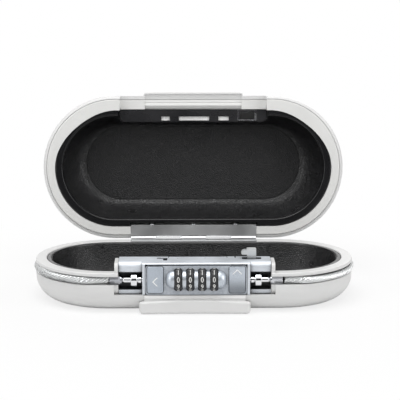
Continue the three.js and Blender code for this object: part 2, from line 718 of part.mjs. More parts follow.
function cablePin(side) {
  const at = (distance) => FACE_X + side * distance;
  const head = pinStart + PIN_HEAD;
  const collar = head + 0.5 + PIN_COLLAR;
  const barrel = collar + PIN_BARREL - GAP;
  const grooveIn = pinStart - 6;
  const profile = [
    [at(pinStart - PIN_NOSE_LENGTH), 0],
    [at(pinStart - PIN_NOSE_LENGTH), PIN_NOSE_RADIUS - 0.5],
    [at(pinStart - PIN_NOSE_LENGTH + 0.5), PIN_NOSE_RADIUS],
    [at(grooveIn), PIN_NOSE_RADIUS],
    [at(grooveIn), PIN_NECK_RADIUS],
    [at(grooveIn + 1.6), PIN_NECK_RADIUS],
    [at(grooveIn + 1.6), PIN_NOSE_RADIUS],
    [at(pinStart), PIN_NOSE_RADIUS],
    [at(pinStart), PIN_HEAD_RADIUS - 0.5],
    [at(pinStart + 0.5), PIN_HEAD_RADIUS],
    [at(head), PIN_HEAD_RADIUS],
    [at(head), PIN_BARREL_RADIUS],
    [at(head + 0.5), PIN_BARREL_RADIUS],
    [at(head + 0.5), PIN_COLLAR_RADIUS - 0.5],
    [at(head + 1), PIN_COLLAR_RADIUS],
    [at(collar - 0.5), PIN_COLLAR_RADIUS],
    [at(collar), PIN_COLLAR_RADIUS - 0.5],
    [at(collar), PIN_BARREL_RADIUS],
    [at(barrel), PIN_BARREL_RADIUS],
    [at(barrel), 0],
  ];
  return turnedX(profile, PIN_Y, cableZ, 10);
}

// Lock case: one zinc casting with a recess for a cable pin in each wing and pockets for the works
const sidePocket = { inner: buttonOffset - 7.4, outer: buttonOffset + 7.1 };
const midPocket = {
  half: ((DIAL_COUNT - 1) * DIAL_PITCH + DIAL_WIDTH) / 2 + HUB_FLANGE + GAP + 1.525,
  back: -41.5,
};
const pocketBottom = buttonZ - BUTTON_HEIGHT / 2 - GAP;
const pocketTop = buttonZ + BUTTON_HEIGHT / 2 + GAP;
const sidePocketBack = HOOK_FRONT - 2.1;
const leverLeft = FACE_X - plateHalf + LEVER_INSIDE;
const leverSlot = {
  left: leverLeft, right: leverLeft + LEVER_SLOT, front: -42.5, back: -40.3, floor: lockTop - 4.5,
};
const coverSpan = {
  left: leverSlot.right + 0.5, right: hookX - HOOK_TAIL - 1.6, front: LOCK_BACK - COVER_THICKNESS - GAP,
};

function lockCase() {
  const wings = new THREE.Shape();
  const recessBack = WING_FRONT + WING_RECESS_DEPTH;
  const barRound = 4.2;
  wings.moveTo(LOCK_BACK, lockBottom);
  wings.lineTo(WING_FRONT + 0.6, lockBottom);
  wings.lineTo(WING_FRONT, lockBottom + 0.6);
  wings.lineTo(WING_FRONT, lockBottom + WING_LEDGE);
  wings.lineTo(recessBack, lockBottom + WING_LEDGE);
  wings.lineTo(recessBack, lockTop - WING_BAR);
  wings.lineTo(WING_FRONT + 0.5, lockTop - WING_BAR);
  wings.lineTo(WING_FRONT, lockTop - WING_BAR + 0.5);
  wings.lineTo(WING_FRONT, lockTop - barRound);
  wings.absarc(WING_FRONT + barRound, lockTop - barRound, barRound, Math.PI, Math.PI / 2, true);
  wings.lineTo(LOCK_BACK, lockTop);
  const face = prismX(outline([
    [FACE_FRONT, lockBottom],
    [FACE_FRONT, lockTop - 0.9],
    [FACE_FRONT + 0.9, lockTop],
    [LOCK_BACK - 6, lockTop],
    [LOCK_BACK - 6, lockBottom],
  ]), FACE_X - faceHalf, FACE_X + faceHalf);
  const plateSpace = block(
    FACE_X - plateHalf - GAP, FACE_X + plateHalf + GAP,
    FACE_FRONT - 1, pocketFront, lockBottom - 1, plateTop + GAP,
  );
  const pockets = [
    block(FACE_X - sidePocket.outer, FACE_X - sidePocket.inner, pocketFront - 1, sidePocketBack,
      pocketBottom, pocketTop),
    block(FACE_X + sidePocket.inner, FACE_X + sidePocket.outer, pocketFront - 1, sidePocketBack,
      pocketBottom, pocketTop),
    block(FACE_X - midPocket.half, FACE_X + midPocket.half, pocketFront - 1, midPocket.back,
      dialZ - DIAL_RADIUS - 0.6, dialZ + DIAL_RADIUS + 0.6),
  ];
  const spindleBore = rodX(
    FACE_X - sidePocket.inner - 1, FACE_X + sidePocket.inner + 1, dialY, dialZ, SPINDLE_RADIUS + GAP,
  );
  const pinBores = [-1, 1].map((side) => {
    const from = FACE_X + side * (sidePocket.outer - 1);
    const to = FACE_X + side * (faceHalf + 1);
    return rodX(Math.min(from, to), Math.max(from, to), PIN_Y, cableZ, PIN_NOSE_RADIUS + 0.35, 10);
  });
  const hookRoom = [
    block(hookX - HOOK_TAIL - 1.1, hookX + HOOK_REACH - 0.7, HOOK_FRONT - 0.4, hookBack + 0.4,
      hookZ - HOOK_SWING, hookZ + 5),
    block(hookX - 1.2, hookX + HOOK_REACH - 0.7, HOOK_FRONT - 0.4, hookBack + 0.4, hookZ, lockTop + 1),
  ];
  const hookPinBore = rodY(
    hookX, sidePocketBack - 1, LOCK_BACK - 0.4, hookZ, HOOK_PIN_RADIUS + GAP, 10,
  );
  const coverRoom = block(
    coverSpan.left, coverSpan.right, coverSpan.front, LOCK_BACK + 1, lockBottom + 1.7, lockTop + 1,
  );
  const lever = [
    block(leverSlot.left, leverSlot.right, leverSlot.front, leverSlot.back, leverSlot.floor, lockTop + 1),
    block(leverSlot.right - 3, leverSlot.right, leverSlot.front - 5, leverSlot.back,
      leverSlot.floor, lockTop + 1),
  ];
  const screwHoles = lockScrewPlaces().map(([x, z]) => rodY(x, LOCK_BACK - 9.3, LOCK_BACK + 1, z, 1.5, HOLE_STEPS));
  const topNotches = [[-13.5, 0.5], [6.5, 0.6], [28.8, 0.5]].map(
    ([x, half]) => block(FACE_X + x - half, FACE_X + x + half, LOCK_BACK - 5.4, LOCK_BACK + 1,
      lockTop - 0.6, lockTop + 1),
  );
  return cut(
    join(prismX(wings, -lockHalf, lockHalf), face),
    plateSpace, ...pockets, spindleBore, ...pinBores, ...hookRoom, hookPinBore, coverRoom,
    ...lever, ...screwHoles, ...topNotches,
  );
}

function lockBackCover() {
  return block(
    coverSpan.left + GAP, coverSpan.right - GAP, coverSpan.front + GAP, LOCK_BACK,
    lockBottom + 1.7 + GAP, lockTop - 0.1,
  );
}

// Face plate: the flat front with the barrel over the dials, a window for each dial and one for each button
function dialX(i) {
  return FACE_X + (i - (DIAL_COUNT - 1) / 2) * DIAL_PITCH;
}

function barrel() {
  const half = barrelLength / 2;
  const tip = BARREL_RADIUS * 0.5;
  const taper = 5.6;
  const profile = [[FACE_X - half, 0]];
  for (let i = 0; i <= 4; i += 1) {
    const angle = (i / 4) * (Math.PI / 2);
    profile.push([FACE_X - half + taper * (1 - Math.cos(angle)), tip + (BARREL_RADIUS - tip) * Math.sin(angle)]);
  }
  for (let i = 4; i >= 0; i -= 1) {
    const angle = (i / 4) * (Math.PI / 2);
    profile.push([FACE_X + half - taper * (1 - Math.cos(angle)), tip + (BARREL_RADIUS - tip) * Math.sin(angle)]);
  }
  profile.push([FACE_X + half, 0]);
  return turnedX(profile, FACE_FRONT + BARREL_AXIS_BEHIND_FACE, dialZ, 24);
}

function lockFaceplate() {
  const back = FACE_FRONT + PLATE_THICKNESS;
  const plate = prismY(
    roundedRectangle(FACE_X - plateHalf, FACE_X + plateHalf, plateBottom, plateTop, 2.2), FACE_FRONT, back,
  );
  const behind = block(-lockHalf, lockHalf, back, 0, 0, lockTop);
  const hollowRadius = BARREL_RADIUS - BARREL_WALL + DIAL_AXIS_BEHIND_FACE - BARREL_AXIS_BEHIND_FACE;
  const hollow = rodX(
    FACE_X - 1.5 * DIAL_PITCH - 4.4, FACE_X + 1.5 * DIAL_PITCH + 6.2, dialY, dialZ, hollowRadius,
  );
  const windowHalf = Math.sqrt((DIAL_RADIUS + 0.5) ** 2 - DIAL_AXIS_BEHIND_FACE ** 2) + 0.03;
  const slotHalf = DIAL_WIDTH / 2 + 0.25;
  const windows = [];
  for (let i = 0; i < DIAL_COUNT; i += 1) {
    const x = dialX(i);
    const shape = roundedRectangle(x - slotHalf, x + slotHalf, dialZ - windowHalf, dialZ + windowHalf, 2.6);
    windows.push(prismY(shape, FACE_FRONT - 8, back + 1, 2));
    windows.push(rodX(x - slotHalf, x + slotHalf, dialY, dialZ, DIAL_RADIUS + 0.5, 14));
  }
  const spindleRoom = rodX(
    FACE_X - sidePocket.inner, FACE_X + sidePocket.inner, dialY, dialZ, SPINDLE_RADIUS + GAP, 12,
  );
  const buttonWindows = [-1, 1].map((side) => {
    const x = FACE_X + side * buttonOffset;
    const halfX = BUTTON_WIDTH / 2 + GAP;
    const halfZ = BUTTON_HEIGHT / 2 + GAP;
    const shape = roundedRectangle(x - halfX, x + halfX, buttonZ - halfZ, buttonZ + halfZ, 1.9);
    return prismY(shape, FACE_FRONT - 1, back + 1, 3);
  });
  return cut(join(plate, cut(barrel(), behind)), hollow, spindleRoom, ...windows, ...buttonWindows);
}

// Dials and their hubs, on one spindle
function dial(i) {
  const half = DIAL_WIDTH / 2;
  const x = dialX(i);
  const edge = quarter(half - DIAL_ROUND, DIAL_RADIUS - DIAL_ROUND, DIAL_ROUND, 0, 90, 2);
  const section = [
    [-half, DIAL_BORE],
    ...edge.map(([along, radius]) => [-along, radius]),
    ...edge.slice().reverse().map(([along, radius]) => [along, radius]),
    [half, DIAL_BORE],
  ];
  const steps = 3 * FINGER_GROOVES;
  const rings = section.map(([along, radius]) => {
    const ring = [];
    for (let k = 0; k < steps; k += 1) {
      const angle = (2 * Math.PI * (k + 0.5)) / steps - Math.PI / FINGER_GROOVES;
      const isGroove = k % 3 === 1 && radius > DIAL_BORE;
      const reach = isGroove ? radius - GROOVE_DEPTH : radius;
      ring.push(new THREE.Vector3(x + along, dialY + reach * Math.cos(angle), dialZ + reach * Math.sin(angle)));
    }
    return ring;
  });
  return loft(rings, true);
}

function hub(i) {
  const x = dialX(i);
  const half = DIAL_WIDTH / 2;
  const sleeve = DIAL_BORE - 0.3;
  const bore = SPINDLE_RADIUS + 0.25;
  const flangeEnd = x + half + GAP + HUB_FLANGE;
  const profile = [
    [x - half, bore],
    [x - half, sleeve],
    [x + half + GAP, sleeve],
    [x + half + GAP, HUB_FLANGE_RADIUS],
    [flangeEnd, HUB_FLANGE_RADIUS],
    [flangeEnd, bore],
  ];
  const notch = block(
    x + half + GAP - 0.1, flangeEnd + 0.1,
    dialY + HUB_FLANGE_RADIUS - 1.5, dialY + HUB_FLANGE_RADIUS + 1, dialZ - 0.6, dialZ + 1.8,
  );
  return cut(turnedX(profile, dialY, dialZ, 12), notch);
}

function dialSpindle() {
  return rodX(FACE_X - sidePocket.inner + GAP, FACE_X + sidePocket.inner - GAP, dialY, dialZ, SPINDLE_RADIUS);
}

// Detent spring: a strip with one finger against the back of each dial
function detentSpring() {
  const floor = dialZ - DIAL_RADIUS - 0.6 + GAP;
  const fingerY = dialY + DIAL_RADIUS - 0.2;
  const strip = block(
    FACE_X - midPocket.half + GAP, FACE_X + midPocket.half - GAP, fingerY - 2.8, fingerY + 0.6,
    floor, floor + 0.6,
  );
  const fingers = [];
  for (let i = 0; i < DIAL_COUNT; i += 1) {
    const x = dialX(i);
    fingers.push(block(x - 1.8, x + 1.8, fingerY, fingerY + 0.6, floor, dialZ - 2.8));
  }
  return join(strip, ...fingers);
}

// Locking comb: a bar behind the dials with one tooth towards each hub
const COMB_TRAVEL = 1;

function lockingComb() {
  const back = midPocket.back - 0.5;
  const bar = block(
    FACE_X - midPocket.half + 1, FACE_X + midPocket.half - 1, back - 1.4, back, dialZ - 0.8, dialZ + 2.2,
  );
  const teeth = [];
  for (let i = 0; i < DIAL_COUNT; i += 1) {
    const x = dialX(i) + DIAL_PITCH / 2;
    teeth.push(block(x - 0.5, x + 0.5, dialY + HUB_FLANGE_RADIUS + 0.4, back - 1, dialZ - 0.1, dialZ + 1.3));
  }
  return join(bar, ...teeth);
}

// Push buttons: a shallow cap in the face plate's window, with a plunger and a stop flange behind it
function button(side, mark) {
  const x = FACE_X + side * buttonOffset;
  const halfX = BUTTON_WIDTH / 2;
  const halfZ = BUTTON_HEIGHT / 2;
  const front = FACE_FRONT - BUTTON_PROUD;
  const cap = loft([
    [front + BUTTON_CAP, 0, 1.6],
    [front + 0.7, 0, 1.6],
    [front + 0.15, 0.3, 1.4],
    [front, 0.9, 1.1],
  ].map(([y, inset, radius]) => {
    const shape = roundedRectangle(
      x - halfX + inset, x + halfX - inset, buttonZ - halfZ + inset, buttonZ + halfZ - inset, radius,
    );
    return shape.extractPoints(2).shape.slice(0, 20).map((point) => new THREE.Vector3(point.x, y, point.y));
  }));
  const inward = -side;
  const near = x + inward * 5.7;
  const far = x + inward * 0.5;
  const plunger = block(
    Math.min(near, far), Math.max(near, far), front + BUTTON_CAP - 0.3, pocketFront + 4, buttonZ - 3, buttonZ + 3,
  );
  const flangeNear = x + inward * 6.7;
  const flangeFar = x - inward * 0.8;
  const flange = block(
    Math.min(flangeNear, flangeFar), Math.max(flangeNear, flangeFar),
    pocketFront, pocketFront + 1.2, buttonZ - 6, buttonZ + 6,
  );
  return cut(join(cap, plunger, flange), mark(x, front));
}

// A shallow chevron cut into the cap: up for the lid, left for the cable
function upMark(x, front) {
  const z = buttonZ + BUTTON_HEIGHT * 0.29;
  const shape = outline([[x - 3.2, z - 2], [x - 3.2, z - 0.9], [x, z + 2.3], [x + 3.2, z - 0.9],
    [x + 3.2, z - 2], [x, z + 1.2]]);
  return prismY(shape, front - 1, front + 0.35);
}

function leftMark(x, front) {
  const z = buttonZ - 1.4;
  const shape = outline([[x + 2, z + 3.2], [x + 0.9, z + 3.2], [x - 2.3, z], [x + 0.9, z - 3.2],
    [x + 2, z - 3.2], [x - 1.2, z]]);
  return prismY(shape, front - 1, front + 0.35);
}

// Cable bolt: a tongue in the left pin's groove, pushed down by the cable button
const tongueAt = pinStart - 5.7;
const BOLT_TRAVEL = 1.5;
const boltBottom = pocketBottom + 3.9;

function cableTongue(side, bottom) {
  const x0 = FACE_X + side * tongueAt;
  const x1 = FACE_X + side * (tongueAt + 1);
  const plate = block(Math.min(x0, x1), Math.max(x0, x1), PIN_Y - 1.7, PIN_Y + 3.7, bottom, cableZ - 0.3);
  return cut(plate, rodX(Math.min(x0, x1) - 1, Math.max(x0, x1) + 1, PIN_Y, cableZ, PIN_NECK_RADIUS + GAP, 10));
}

function cableBolt() {
  return cableTongue(-1, boltBottom);
}

function cableRetainer() {
  return cableTongue(1, pocketBottom + GAP);
}

// A small compression spring, wound about a vertical axis as one unbroken wire
function coilSpring(x, y, bottom, top, radius, wire, turns) {
  const points = [];
  const steps = 8 * turns;
  for (let i = 0; i <= steps; i += 1) {
    const angle = (2 * Math.PI * i) / 8;
    const z = bottom + wire + ((top - bottom - 2 * wire) * i) / steps;
    points.push(new THREE.Vector3(x + radius * Math.cos(angle), y + radius * Math.sin(angle), z));
  }
  const rings = points.map((point, i) => {
    const angle = (2 * Math.PI * i) / 8;
    const outward = new THREE.Vector3(Math.cos(angle), Math.sin(angle), 0);
    const up = new THREE.Vector3(0, 0, 1);
    const ring = [];
    for (let j = 0; j < 4; j += 1) {
      const turn = (2 * Math.PI * j) / 4;
      ring.push(point.clone()
        .addScaledVector(outward, wire * Math.cos(turn))
        .addScaledVector(up, wire * Math.sin(turn)));
    }
    return ring;
  });
  return loft(rings);
}

function boltSpring() {
  return coilSpring(FACE_X - tongueAt - 0.5, PIN_Y + 1, pocketBottom + 0.2, boltBottom - 0.2, 1.1, 0.25, 3);
}

function hookSpring() {
  return coilSpring(hookX - 8, (HOOK_FRONT + hookBack) / 2, hookZ - 1.1, hookZ + 4.7, 1.5, 0.28, 4);
}

// Latch hook: a rocking lever whose nose takes hold of the lid's strike plate
function latchHook() {
  const noseUnder = lockTop + 3.1;
  const headTop = lockTop + 7.6;
  const left = hookX + 2.4;
  const right = hookX + 9;
  const shape = outline([
    [left, hookZ + 6],
    [left, noseUnder],
    [hookX - 1.2, noseUnder],
    [hookX - 1.8, noseUnder + 0.7],
    [hookX - 1.8, noseUnder + 1.9],
    [hookX - 1.1, noseUnder + 2.9],
    [hookX + 0.2, noseUnder + 3.4],
    [left - 0.4, noseUnder + 3.4],
    [left - 0.4, headTop - 0.5],
    [left + 0.1, headTop],
    [right - 0.5, headTop],
    [right, headTop - 0.5],
    [right, hookZ + 6],
    [hookX + 4.2, hookZ - 1],
    [hookX + 2.6, hookZ - 3.2],
    [hookX, hookZ - 3.6],
    [hookX - HOOK_TAIL, hookZ - 3.4],
    [hookX - HOOK_TAIL, hookZ - 1.4],
    [hookX - 4.4, hookZ - 0.8],
    [hookX - 3.4, hookZ + 2.4],
    [hookX - 0.4, hookZ + 3.6],
  ]);
  const body = prismY(shape, HOOK_FRONT, hookBack);
  return cut(body, rodY(hookX, HOOK_FRONT - 1, hookBack + 1, hookZ, HOOK_PIN_RADIUS + GAP, 12));
}

function hookPivotPin() {
  return rodY(hookX, sidePocketBack + 0.2, LOCK_BACK - 0.7, hookZ, HOOK_PIN_RADIUS, 12);
}

// Code-change lever: a tab that slides along its slot in the lock's top
function codeLever() {
  return block(
    leverSlot.left + GAP, leverSlot.left + GAP + 2.8, leverSlot.front + GAP, leverSlot.back - GAP,
    leverSlot.floor + GAP, lockTop + 0.3,
  );
}

// Lid, in its own frame: the parting plane is z = 0 and the lid lies above it, as when shut
function lidShell() {
  const inner = lidRimOuter + GAP;
  const wall = endRadius - inner;
  const corner = endRadius - EDGE_FILLET;
  const centre = HALF_HEIGHT - EDGE_FILLET;
  const section = [
    ...quarter(corner, centre, EDGE_FILLET, 90, 0),
    [endRadius, 6],
    [endRadius - 0.7, 3.4],
    [endRadius - 1.8, 2],
    [inner, 2],
    ...quarter(corner, centre, EDGE_FILLET - wall, 0, 90),
  ];
  const lockGap = block(-notchHalf, notchHalf, -endRadius - 1, -lidRimInner + 3, -1, notchDepth);
  const hingeRoom = rodX(
    -HINGE_LENGTH / 2 - GAP, HINGE_LENGTH / 2 + GAP, hingeY, 0, KNUCKLE_RADIUS + 0.5, 12,
  );
  const hollow = block(
    -browHollowHalf, browHollowHalf, -endRadius - CHIN_PROUD + BROW_LIP, -inner + 1,
    notchDepth - 1, notchDepth + BROW_HOLLOW,
  );
  return cut(join(cut(stadiumSolid(section), lockGap), arched(BROW_LENGTH, browRing)), hollow, hingeRoom);
}

function browRing(x) {
  const front = -(endRadius + CHIN_PROUD);
  const wallY = -(endRadius - WALL / 2);
  const top = notchDepth + BROW_HEIGHT;
  const points = [
    [wallY, notchDepth],
    [front + 0.8, notchDepth],
    [front, notchDepth + 0.8],
    [front, top - 6.6],
    [front + 0.8, top - 3.8],
    [front + 2.8, top - 1.5],
    [front + 5.6, top - 0.1],
    [front + 9.6, top + 1.1],
    [front + 10, top + 0.1],
    [wallY + 0.9, top - 7.6],
  ];
  return points.map(([y, z]) => new THREE.Vector3(x, y, z));
}

function lidRim() {
  const ring = stadiumSolid([
    [lidRimInner, lidFace + 0.5],
    [lidRimInner + 0.5, lidFace],
    [lidRimOuter - 0.6, lidFace],
    [lidRimOuter, lidFace + 0.6],
    [lidRimOuter, LID_SKIRT_DEPTH],
    [lidRimOuter - LID_SKIRT_WALL, LID_SKIRT_DEPTH],
    [lidRimOuter - LID_SKIRT_WALL, lidFace + LID_RIM_PLATE],
    [lidRimInner + 1.4, lidFace + LID_RIM_PLATE],
    [lidRimInner + 1.4, 4.5],
    [lidRimInner, 4.5],
  ], true);
  const pocketWall = 1.7;
  const pocket = block(
    -notchHalf - pocketWall, notchHalf + pocketWall, -lidRimOuter, -lidRimInner,
    lidFace, notchDepth + LID_SKIRT_WALL,
  );
  const roof = block(
    -notchHalf, notchHalf, -lidRimInner - 1, -lidRimInner + ROOF_LIP, notchDepth, notchDepth + LID_SKIRT_WALL,
  );
  const lockGap = block(-notchHalf, notchHalf, -endRadius - 1, -lidRimInner + 2, -1, notchDepth);
  const roofSteps = [[-endRadius, -lidRimOuter + 3.2, 1.2], [-lidRimOuter + 3.1, -lidRimInner + 2, 0.6]].map(
    ([front, back, depth]) => block(
      -browHollowHalf, browHollowHalf, front, back, notchDepth - 1, notchDepth + depth,
    ),
  );
  return cut(join(ring, pocket, roof), lockGap, ...roofSteps, lidHingePocket());
}

function lidHingePocket() {
  const reach = HINGE_LENGTH / 2 + GAP;
  return join(
    block(-reach, reach, lidRimInner - 1, endRadius + 1, lidFace - 1, lidFace + 0.1 + LEAF + GAP),
    ...hingeScrewPlaces().map((x) => rodY(x, lidRimInner - 1, lidRimInner + 5, lidHingeScrewZ, 1.1, HOLE_STEPS)),
  );
}

function lidHingeLeaf() {
  const leaf = hingeLeaf(lidRimInner, 0, 1, 6.2, 1);
  const holes = hingeScrewPlaces().map((x) => rodY(x, lidRimInner - 3, endRadius, lidHingeScrewZ, 1.1, HOLE_STEPS));
  return cut(leaf, ...holes);
}

function lidHingeScrew(x) {
  const seat = lidRimInner - GAP - LEAF - 0.1;
  return join(
    rodY(x, seat - 0.8, seat, lidHingeScrewZ, 1.7, 10),
    rodY(x, seat - 0.2, seat + 4.4, lidHingeScrewZ, 0.8, HOLE_STEPS),
  );
}

const lidLinerDepth = HALF_HEIGHT - WALL - GAP - LINER_THICKNESS;
const channelEnd = notchHalf + 0.9;
const channelRoom = 17.6;

function lidLiner() {
  const section = linerSection(
    lidRimInner - GAP, LID_PANEL_RADIUS, straight - LID_PANEL_SHORTER, lidLinerDepth,
    LID_PANEL_FORWARD, LINER_THICKNESS,
  );
  const lockRoom = block(
    -channelEnd - GAP, channelEnd + GAP, -endRadius, LOCK_BACK + 2.2, -1, channelRoom,
  );
  const hingeRoom = block(
    -HINGE_LENGTH / 2 - 1, HINGE_LENGTH / 2 + 1, lidRimInner - 3.4, endRadius, -1, 8,
  );
  return cut(stadiumSolid(section), lockRoom, hingeRoom);
}

// Lock channel: the black cover inside the lid that the top of the lock comes up against
const channelBack = LOCK_BACK - CHANNEL_BEFORE_LOCK_BACK - CHANNEL_WALL; // inside of its back wall
const catchWindow = {
  left: hookX + 1.2, right: hookX + HOOK_REACH, front: HOOK_FRONT - 1.3, back: hookBack + 0.8,
};
const plateWindows = [[-25.6, -18.9], [-11.5, 12.9], [20.2, 28.6]];

function channelOutline(inset, back) {
  const radius = 5 - inset * 0.5;
  const shape = new THREE.Shape();
  const x = channelEnd - inset;
  const front = -lidRimInner + ROOF_LIP + GAP + inset;
  shape.moveTo(-x, front);
  shape.lineTo(x, front);
  shape.lineTo(x, back - inset - radius);
  shape.absarc(x - radius, back - inset - radius, radius, 0, Math.PI / 2);
  shape.lineTo(-x + radius, back - inset);
  shape.absarc(-x + radius, back - inset - radius, radius, Math.PI / 2, Math.PI);
  return shape;
}

function prismZ(shape, z0, z1, curveSteps = 5) {
  const settings = { depth: z1 - z0, bevelEnabled: false, curveSegments: curveSteps };
  const geometry = new THREE.ExtrudeGeometry(shape, settings);
  geometry.translate(0, 0, z0);
  return solid(geometry);
}

function lockChannel() {
  const face = notchDepth;
  const wall = CHANNEL_WALL;
  const back = channelBack + wall;
  const outer = prismZ(channelOutline(0, back), face, lidLinerDepth);
  const softened = prismZ(channelOutline(0.5, back), face, face + 0.5);
  const lowerEdge = cut(prismZ(channelOutline(0, back), face - 1, face + 0.5), softened);
  const hollow = prismZ(channelOutline(wall, back), face + 1, lidLinerDepth + 1);
  const openFront = block(
    -channelEnd + wall, channelEnd - wall, -endRadius, -lidRimInner + 3, face + 1, lidLinerDepth + 1,
  );
  const beforeLiner = block(
    -channelEnd, channelEnd, -lidRimInner + GAP, LOCK_BACK + 2.2 - GAP / 2, 0, channelRoom - GAP,
  );
  const room = join(beforeLiner, linerInside(
    lidRimInner - GAP, LID_PANEL_RADIUS, straight - LID_PANEL_SHORTER, lidLinerDepth, LID_PANEL_FORWARD,
  ));
  const windows = plateWindows.map(([x0, x1]) => block(
    x0, x1, LOCK_BACK - 5, channelBack + 0.2, face - 1, face + 2,
  ));
  const opening = block(
    catchWindow.left - 1.6, catchWindow.right + 1.6, catchWindow.front - 1, catchWindow.back + 1.6,
    face - 1, face + 2,
  );
  return cut(outer, lowerEdge, hollow, openFront, ...windows, opening).intersect(room);
}

const STRIKE_DEPTH = 8;

// Strike plate: the steel plate behind the channel that the hook takes hold of
function strikePlate() {
  const z0 = notchDepth + 1.2;
  const left = plateWindows[0][0] - 2.4;
  const plate = block(left, catchWindow.right + 2.2, LOCK_BACK - STRIKE_DEPTH, channelBack - 0.3, z0, z0 + 1);
  const opening = block(
    catchWindow.left, catchWindow.right, catchWindow.front, catchWindow.back, z0 - 1, z0 + 2,
  );
  return cut(plate, opening);
}

// Strike catch: the bright frame round the hook's opening
function strikeCatch() {
  const z0 = notchDepth - 0.3;
  const frame = prismZ(outline([
    [catchWindow.left - 1.3, catchWindow.front - 0.7],
    [catchWindow.right + 1.3, catchWindow.front - 0.7],
    [catchWindow.right + 1.3, catchWindow.back + 1.3],
    [catchWindow.left - 1.3, catchWindow.back + 1.3],
  ]), z0, z0 + 1.2);
  const opening = block(
    catchWindow.left, catchWindow.right, catchWindow.front + 0.4, catchWindow.back, z0 - 1, z0 + 2,
  );
  return cut(frame, opening);
}

// The safe
const safe = new THREE.Group();
const base = new THREE.Group();
safe.add(base);

piece(base, 'base_shell', baseShell(), whitePlastic);
piece(base, 'base_rim', baseRim(), whitePlastic);
piece(base, 'base_liner', baseLiner(), blackLiner);
piece(base, 'base_hinge_leaf', baseHingeLeaf(), steel);
hingeScrewPlaces().forEach((x, i) => piece(base, `base_hinge_screw_${i + 1}`, baseHingeScrew(x), steel));
piece(base, 'hinge_pin', hingePin(), steel);
piece(base, 'security_cable', securityCable(), cableFinish);
piece(base, 'cable_ferrule_left', cableFerrule(-1), darkSteel);
piece(base, 'cable_ferrule_right', cableFerrule(1), darkSteel);
piece(base, 'cable_pin_left', cablePin(-1), chrome);
piece(base, 'cable_pin_right', cablePin(1), chrome);
piece(base, 'cable_retainer', cableRetainer(), steel);
piece(base, 'lock_case', lockCase(), castZinc);
piece(base, 'lock_back_cover', lockBackCover(), castZinc);
piece(base, 'lock_faceplate', lockFaceplate(), castZinc);
lockScrewPlaces().forEach((place, i) => piece(base, `lock_screw_${i + 1}`, lockScrew(place), steel));
piece(base, 'dial_spindle', dialSpindle(), steel);
piece(base, 'detent_spring', detentSpring(), steel);
piece(base, 'hook_pivot_pin', hookPivotPin(), steel);
piece(base, 'hook_spring', hookSpring(), steel);
piece(base, 'bolt_spring', boltSpring(), steel);
for (let i = 0; i < DIAL_COUNT; i += 1) {
  piece(base, `dial_${i + 1}`, dial(i), blackPlastic);
  piece(base, `dial_hub_${i + 1}`, hub(i), steel);
}
piece(base, 'locking_comb', lockingComb(), steel);
piece(base, 'lid_button', button(1, upMark), castZinc);
piece(base, 'cable_button', button(-1, leftMark), castZinc);
piece(base, 'cable_bolt', cableBolt(), steel);
piece(base, 'latch_hook', latchHook(), castZinc);
piece(base, 'code_lever', codeLever(), darkSteel);

const lidOnHinge = new THREE.Group();
lidOnHinge.position.set(0, hingeY, HALF_HEIGHT);
lidOnHinge.rotation.x = -THREE.MathUtils.degToRad(OPEN_ANGLE);
safe.add(lidOnHinge);
const lid = new THREE.Group();
lid.position.set(0, -hingeY, 0);
lidOnHinge.add(lid);

piece(lid, 'lid_shell', lidShell(), whitePlastic);
piece(lid, 'lid_rim', lidRim(), whitePlastic);
piece(lid, 'lid_liner', lidLiner(), blackLiner);
piece(lid, 'lock_channel', lockChannel(), blackPlastic);
piece(lid, 'strike_plate', strikePlate(), steel);
piece(lid, 'strike_catch', strikeCatch(), chrome);
piece(lid, 'lid_hinge_leaf', lidHingeLeaf(), steel);
hingeScrewPlaces().forEach((x, i) => piece(lid, `lid_hinge_screw_${i + 1}`, lidHingeScrew(x), steel));

export default safe;
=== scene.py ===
import json
import math

import bmesh
import bpy
from mathutils import Matrix, Vector


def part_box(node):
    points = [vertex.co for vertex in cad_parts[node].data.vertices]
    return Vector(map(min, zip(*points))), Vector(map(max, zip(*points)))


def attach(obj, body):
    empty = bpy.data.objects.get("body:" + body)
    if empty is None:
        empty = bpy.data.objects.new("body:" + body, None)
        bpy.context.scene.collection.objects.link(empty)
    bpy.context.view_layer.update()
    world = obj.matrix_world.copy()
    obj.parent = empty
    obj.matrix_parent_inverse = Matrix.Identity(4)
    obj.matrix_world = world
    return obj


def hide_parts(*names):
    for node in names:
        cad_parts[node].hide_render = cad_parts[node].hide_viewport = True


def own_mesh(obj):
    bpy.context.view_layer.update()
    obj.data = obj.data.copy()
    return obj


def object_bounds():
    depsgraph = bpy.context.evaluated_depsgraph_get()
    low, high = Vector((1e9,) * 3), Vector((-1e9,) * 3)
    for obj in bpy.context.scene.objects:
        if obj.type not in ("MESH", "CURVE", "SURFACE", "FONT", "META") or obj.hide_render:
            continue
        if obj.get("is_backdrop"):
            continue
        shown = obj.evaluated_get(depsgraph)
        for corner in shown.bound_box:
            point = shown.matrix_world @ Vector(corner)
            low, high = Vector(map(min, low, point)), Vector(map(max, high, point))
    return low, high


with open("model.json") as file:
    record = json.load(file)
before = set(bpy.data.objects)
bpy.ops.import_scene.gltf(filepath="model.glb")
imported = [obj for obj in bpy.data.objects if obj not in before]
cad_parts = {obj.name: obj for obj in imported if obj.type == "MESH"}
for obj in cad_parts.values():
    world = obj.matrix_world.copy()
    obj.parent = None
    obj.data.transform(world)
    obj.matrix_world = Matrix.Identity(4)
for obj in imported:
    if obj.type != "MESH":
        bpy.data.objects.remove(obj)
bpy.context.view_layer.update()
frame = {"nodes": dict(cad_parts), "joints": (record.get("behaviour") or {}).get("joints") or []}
nodes = frame["nodes"]
cad_nodes = set(nodes.values())
joints = {joint["name"]: joint for joint in frame["joints"]}
mm = 0.001

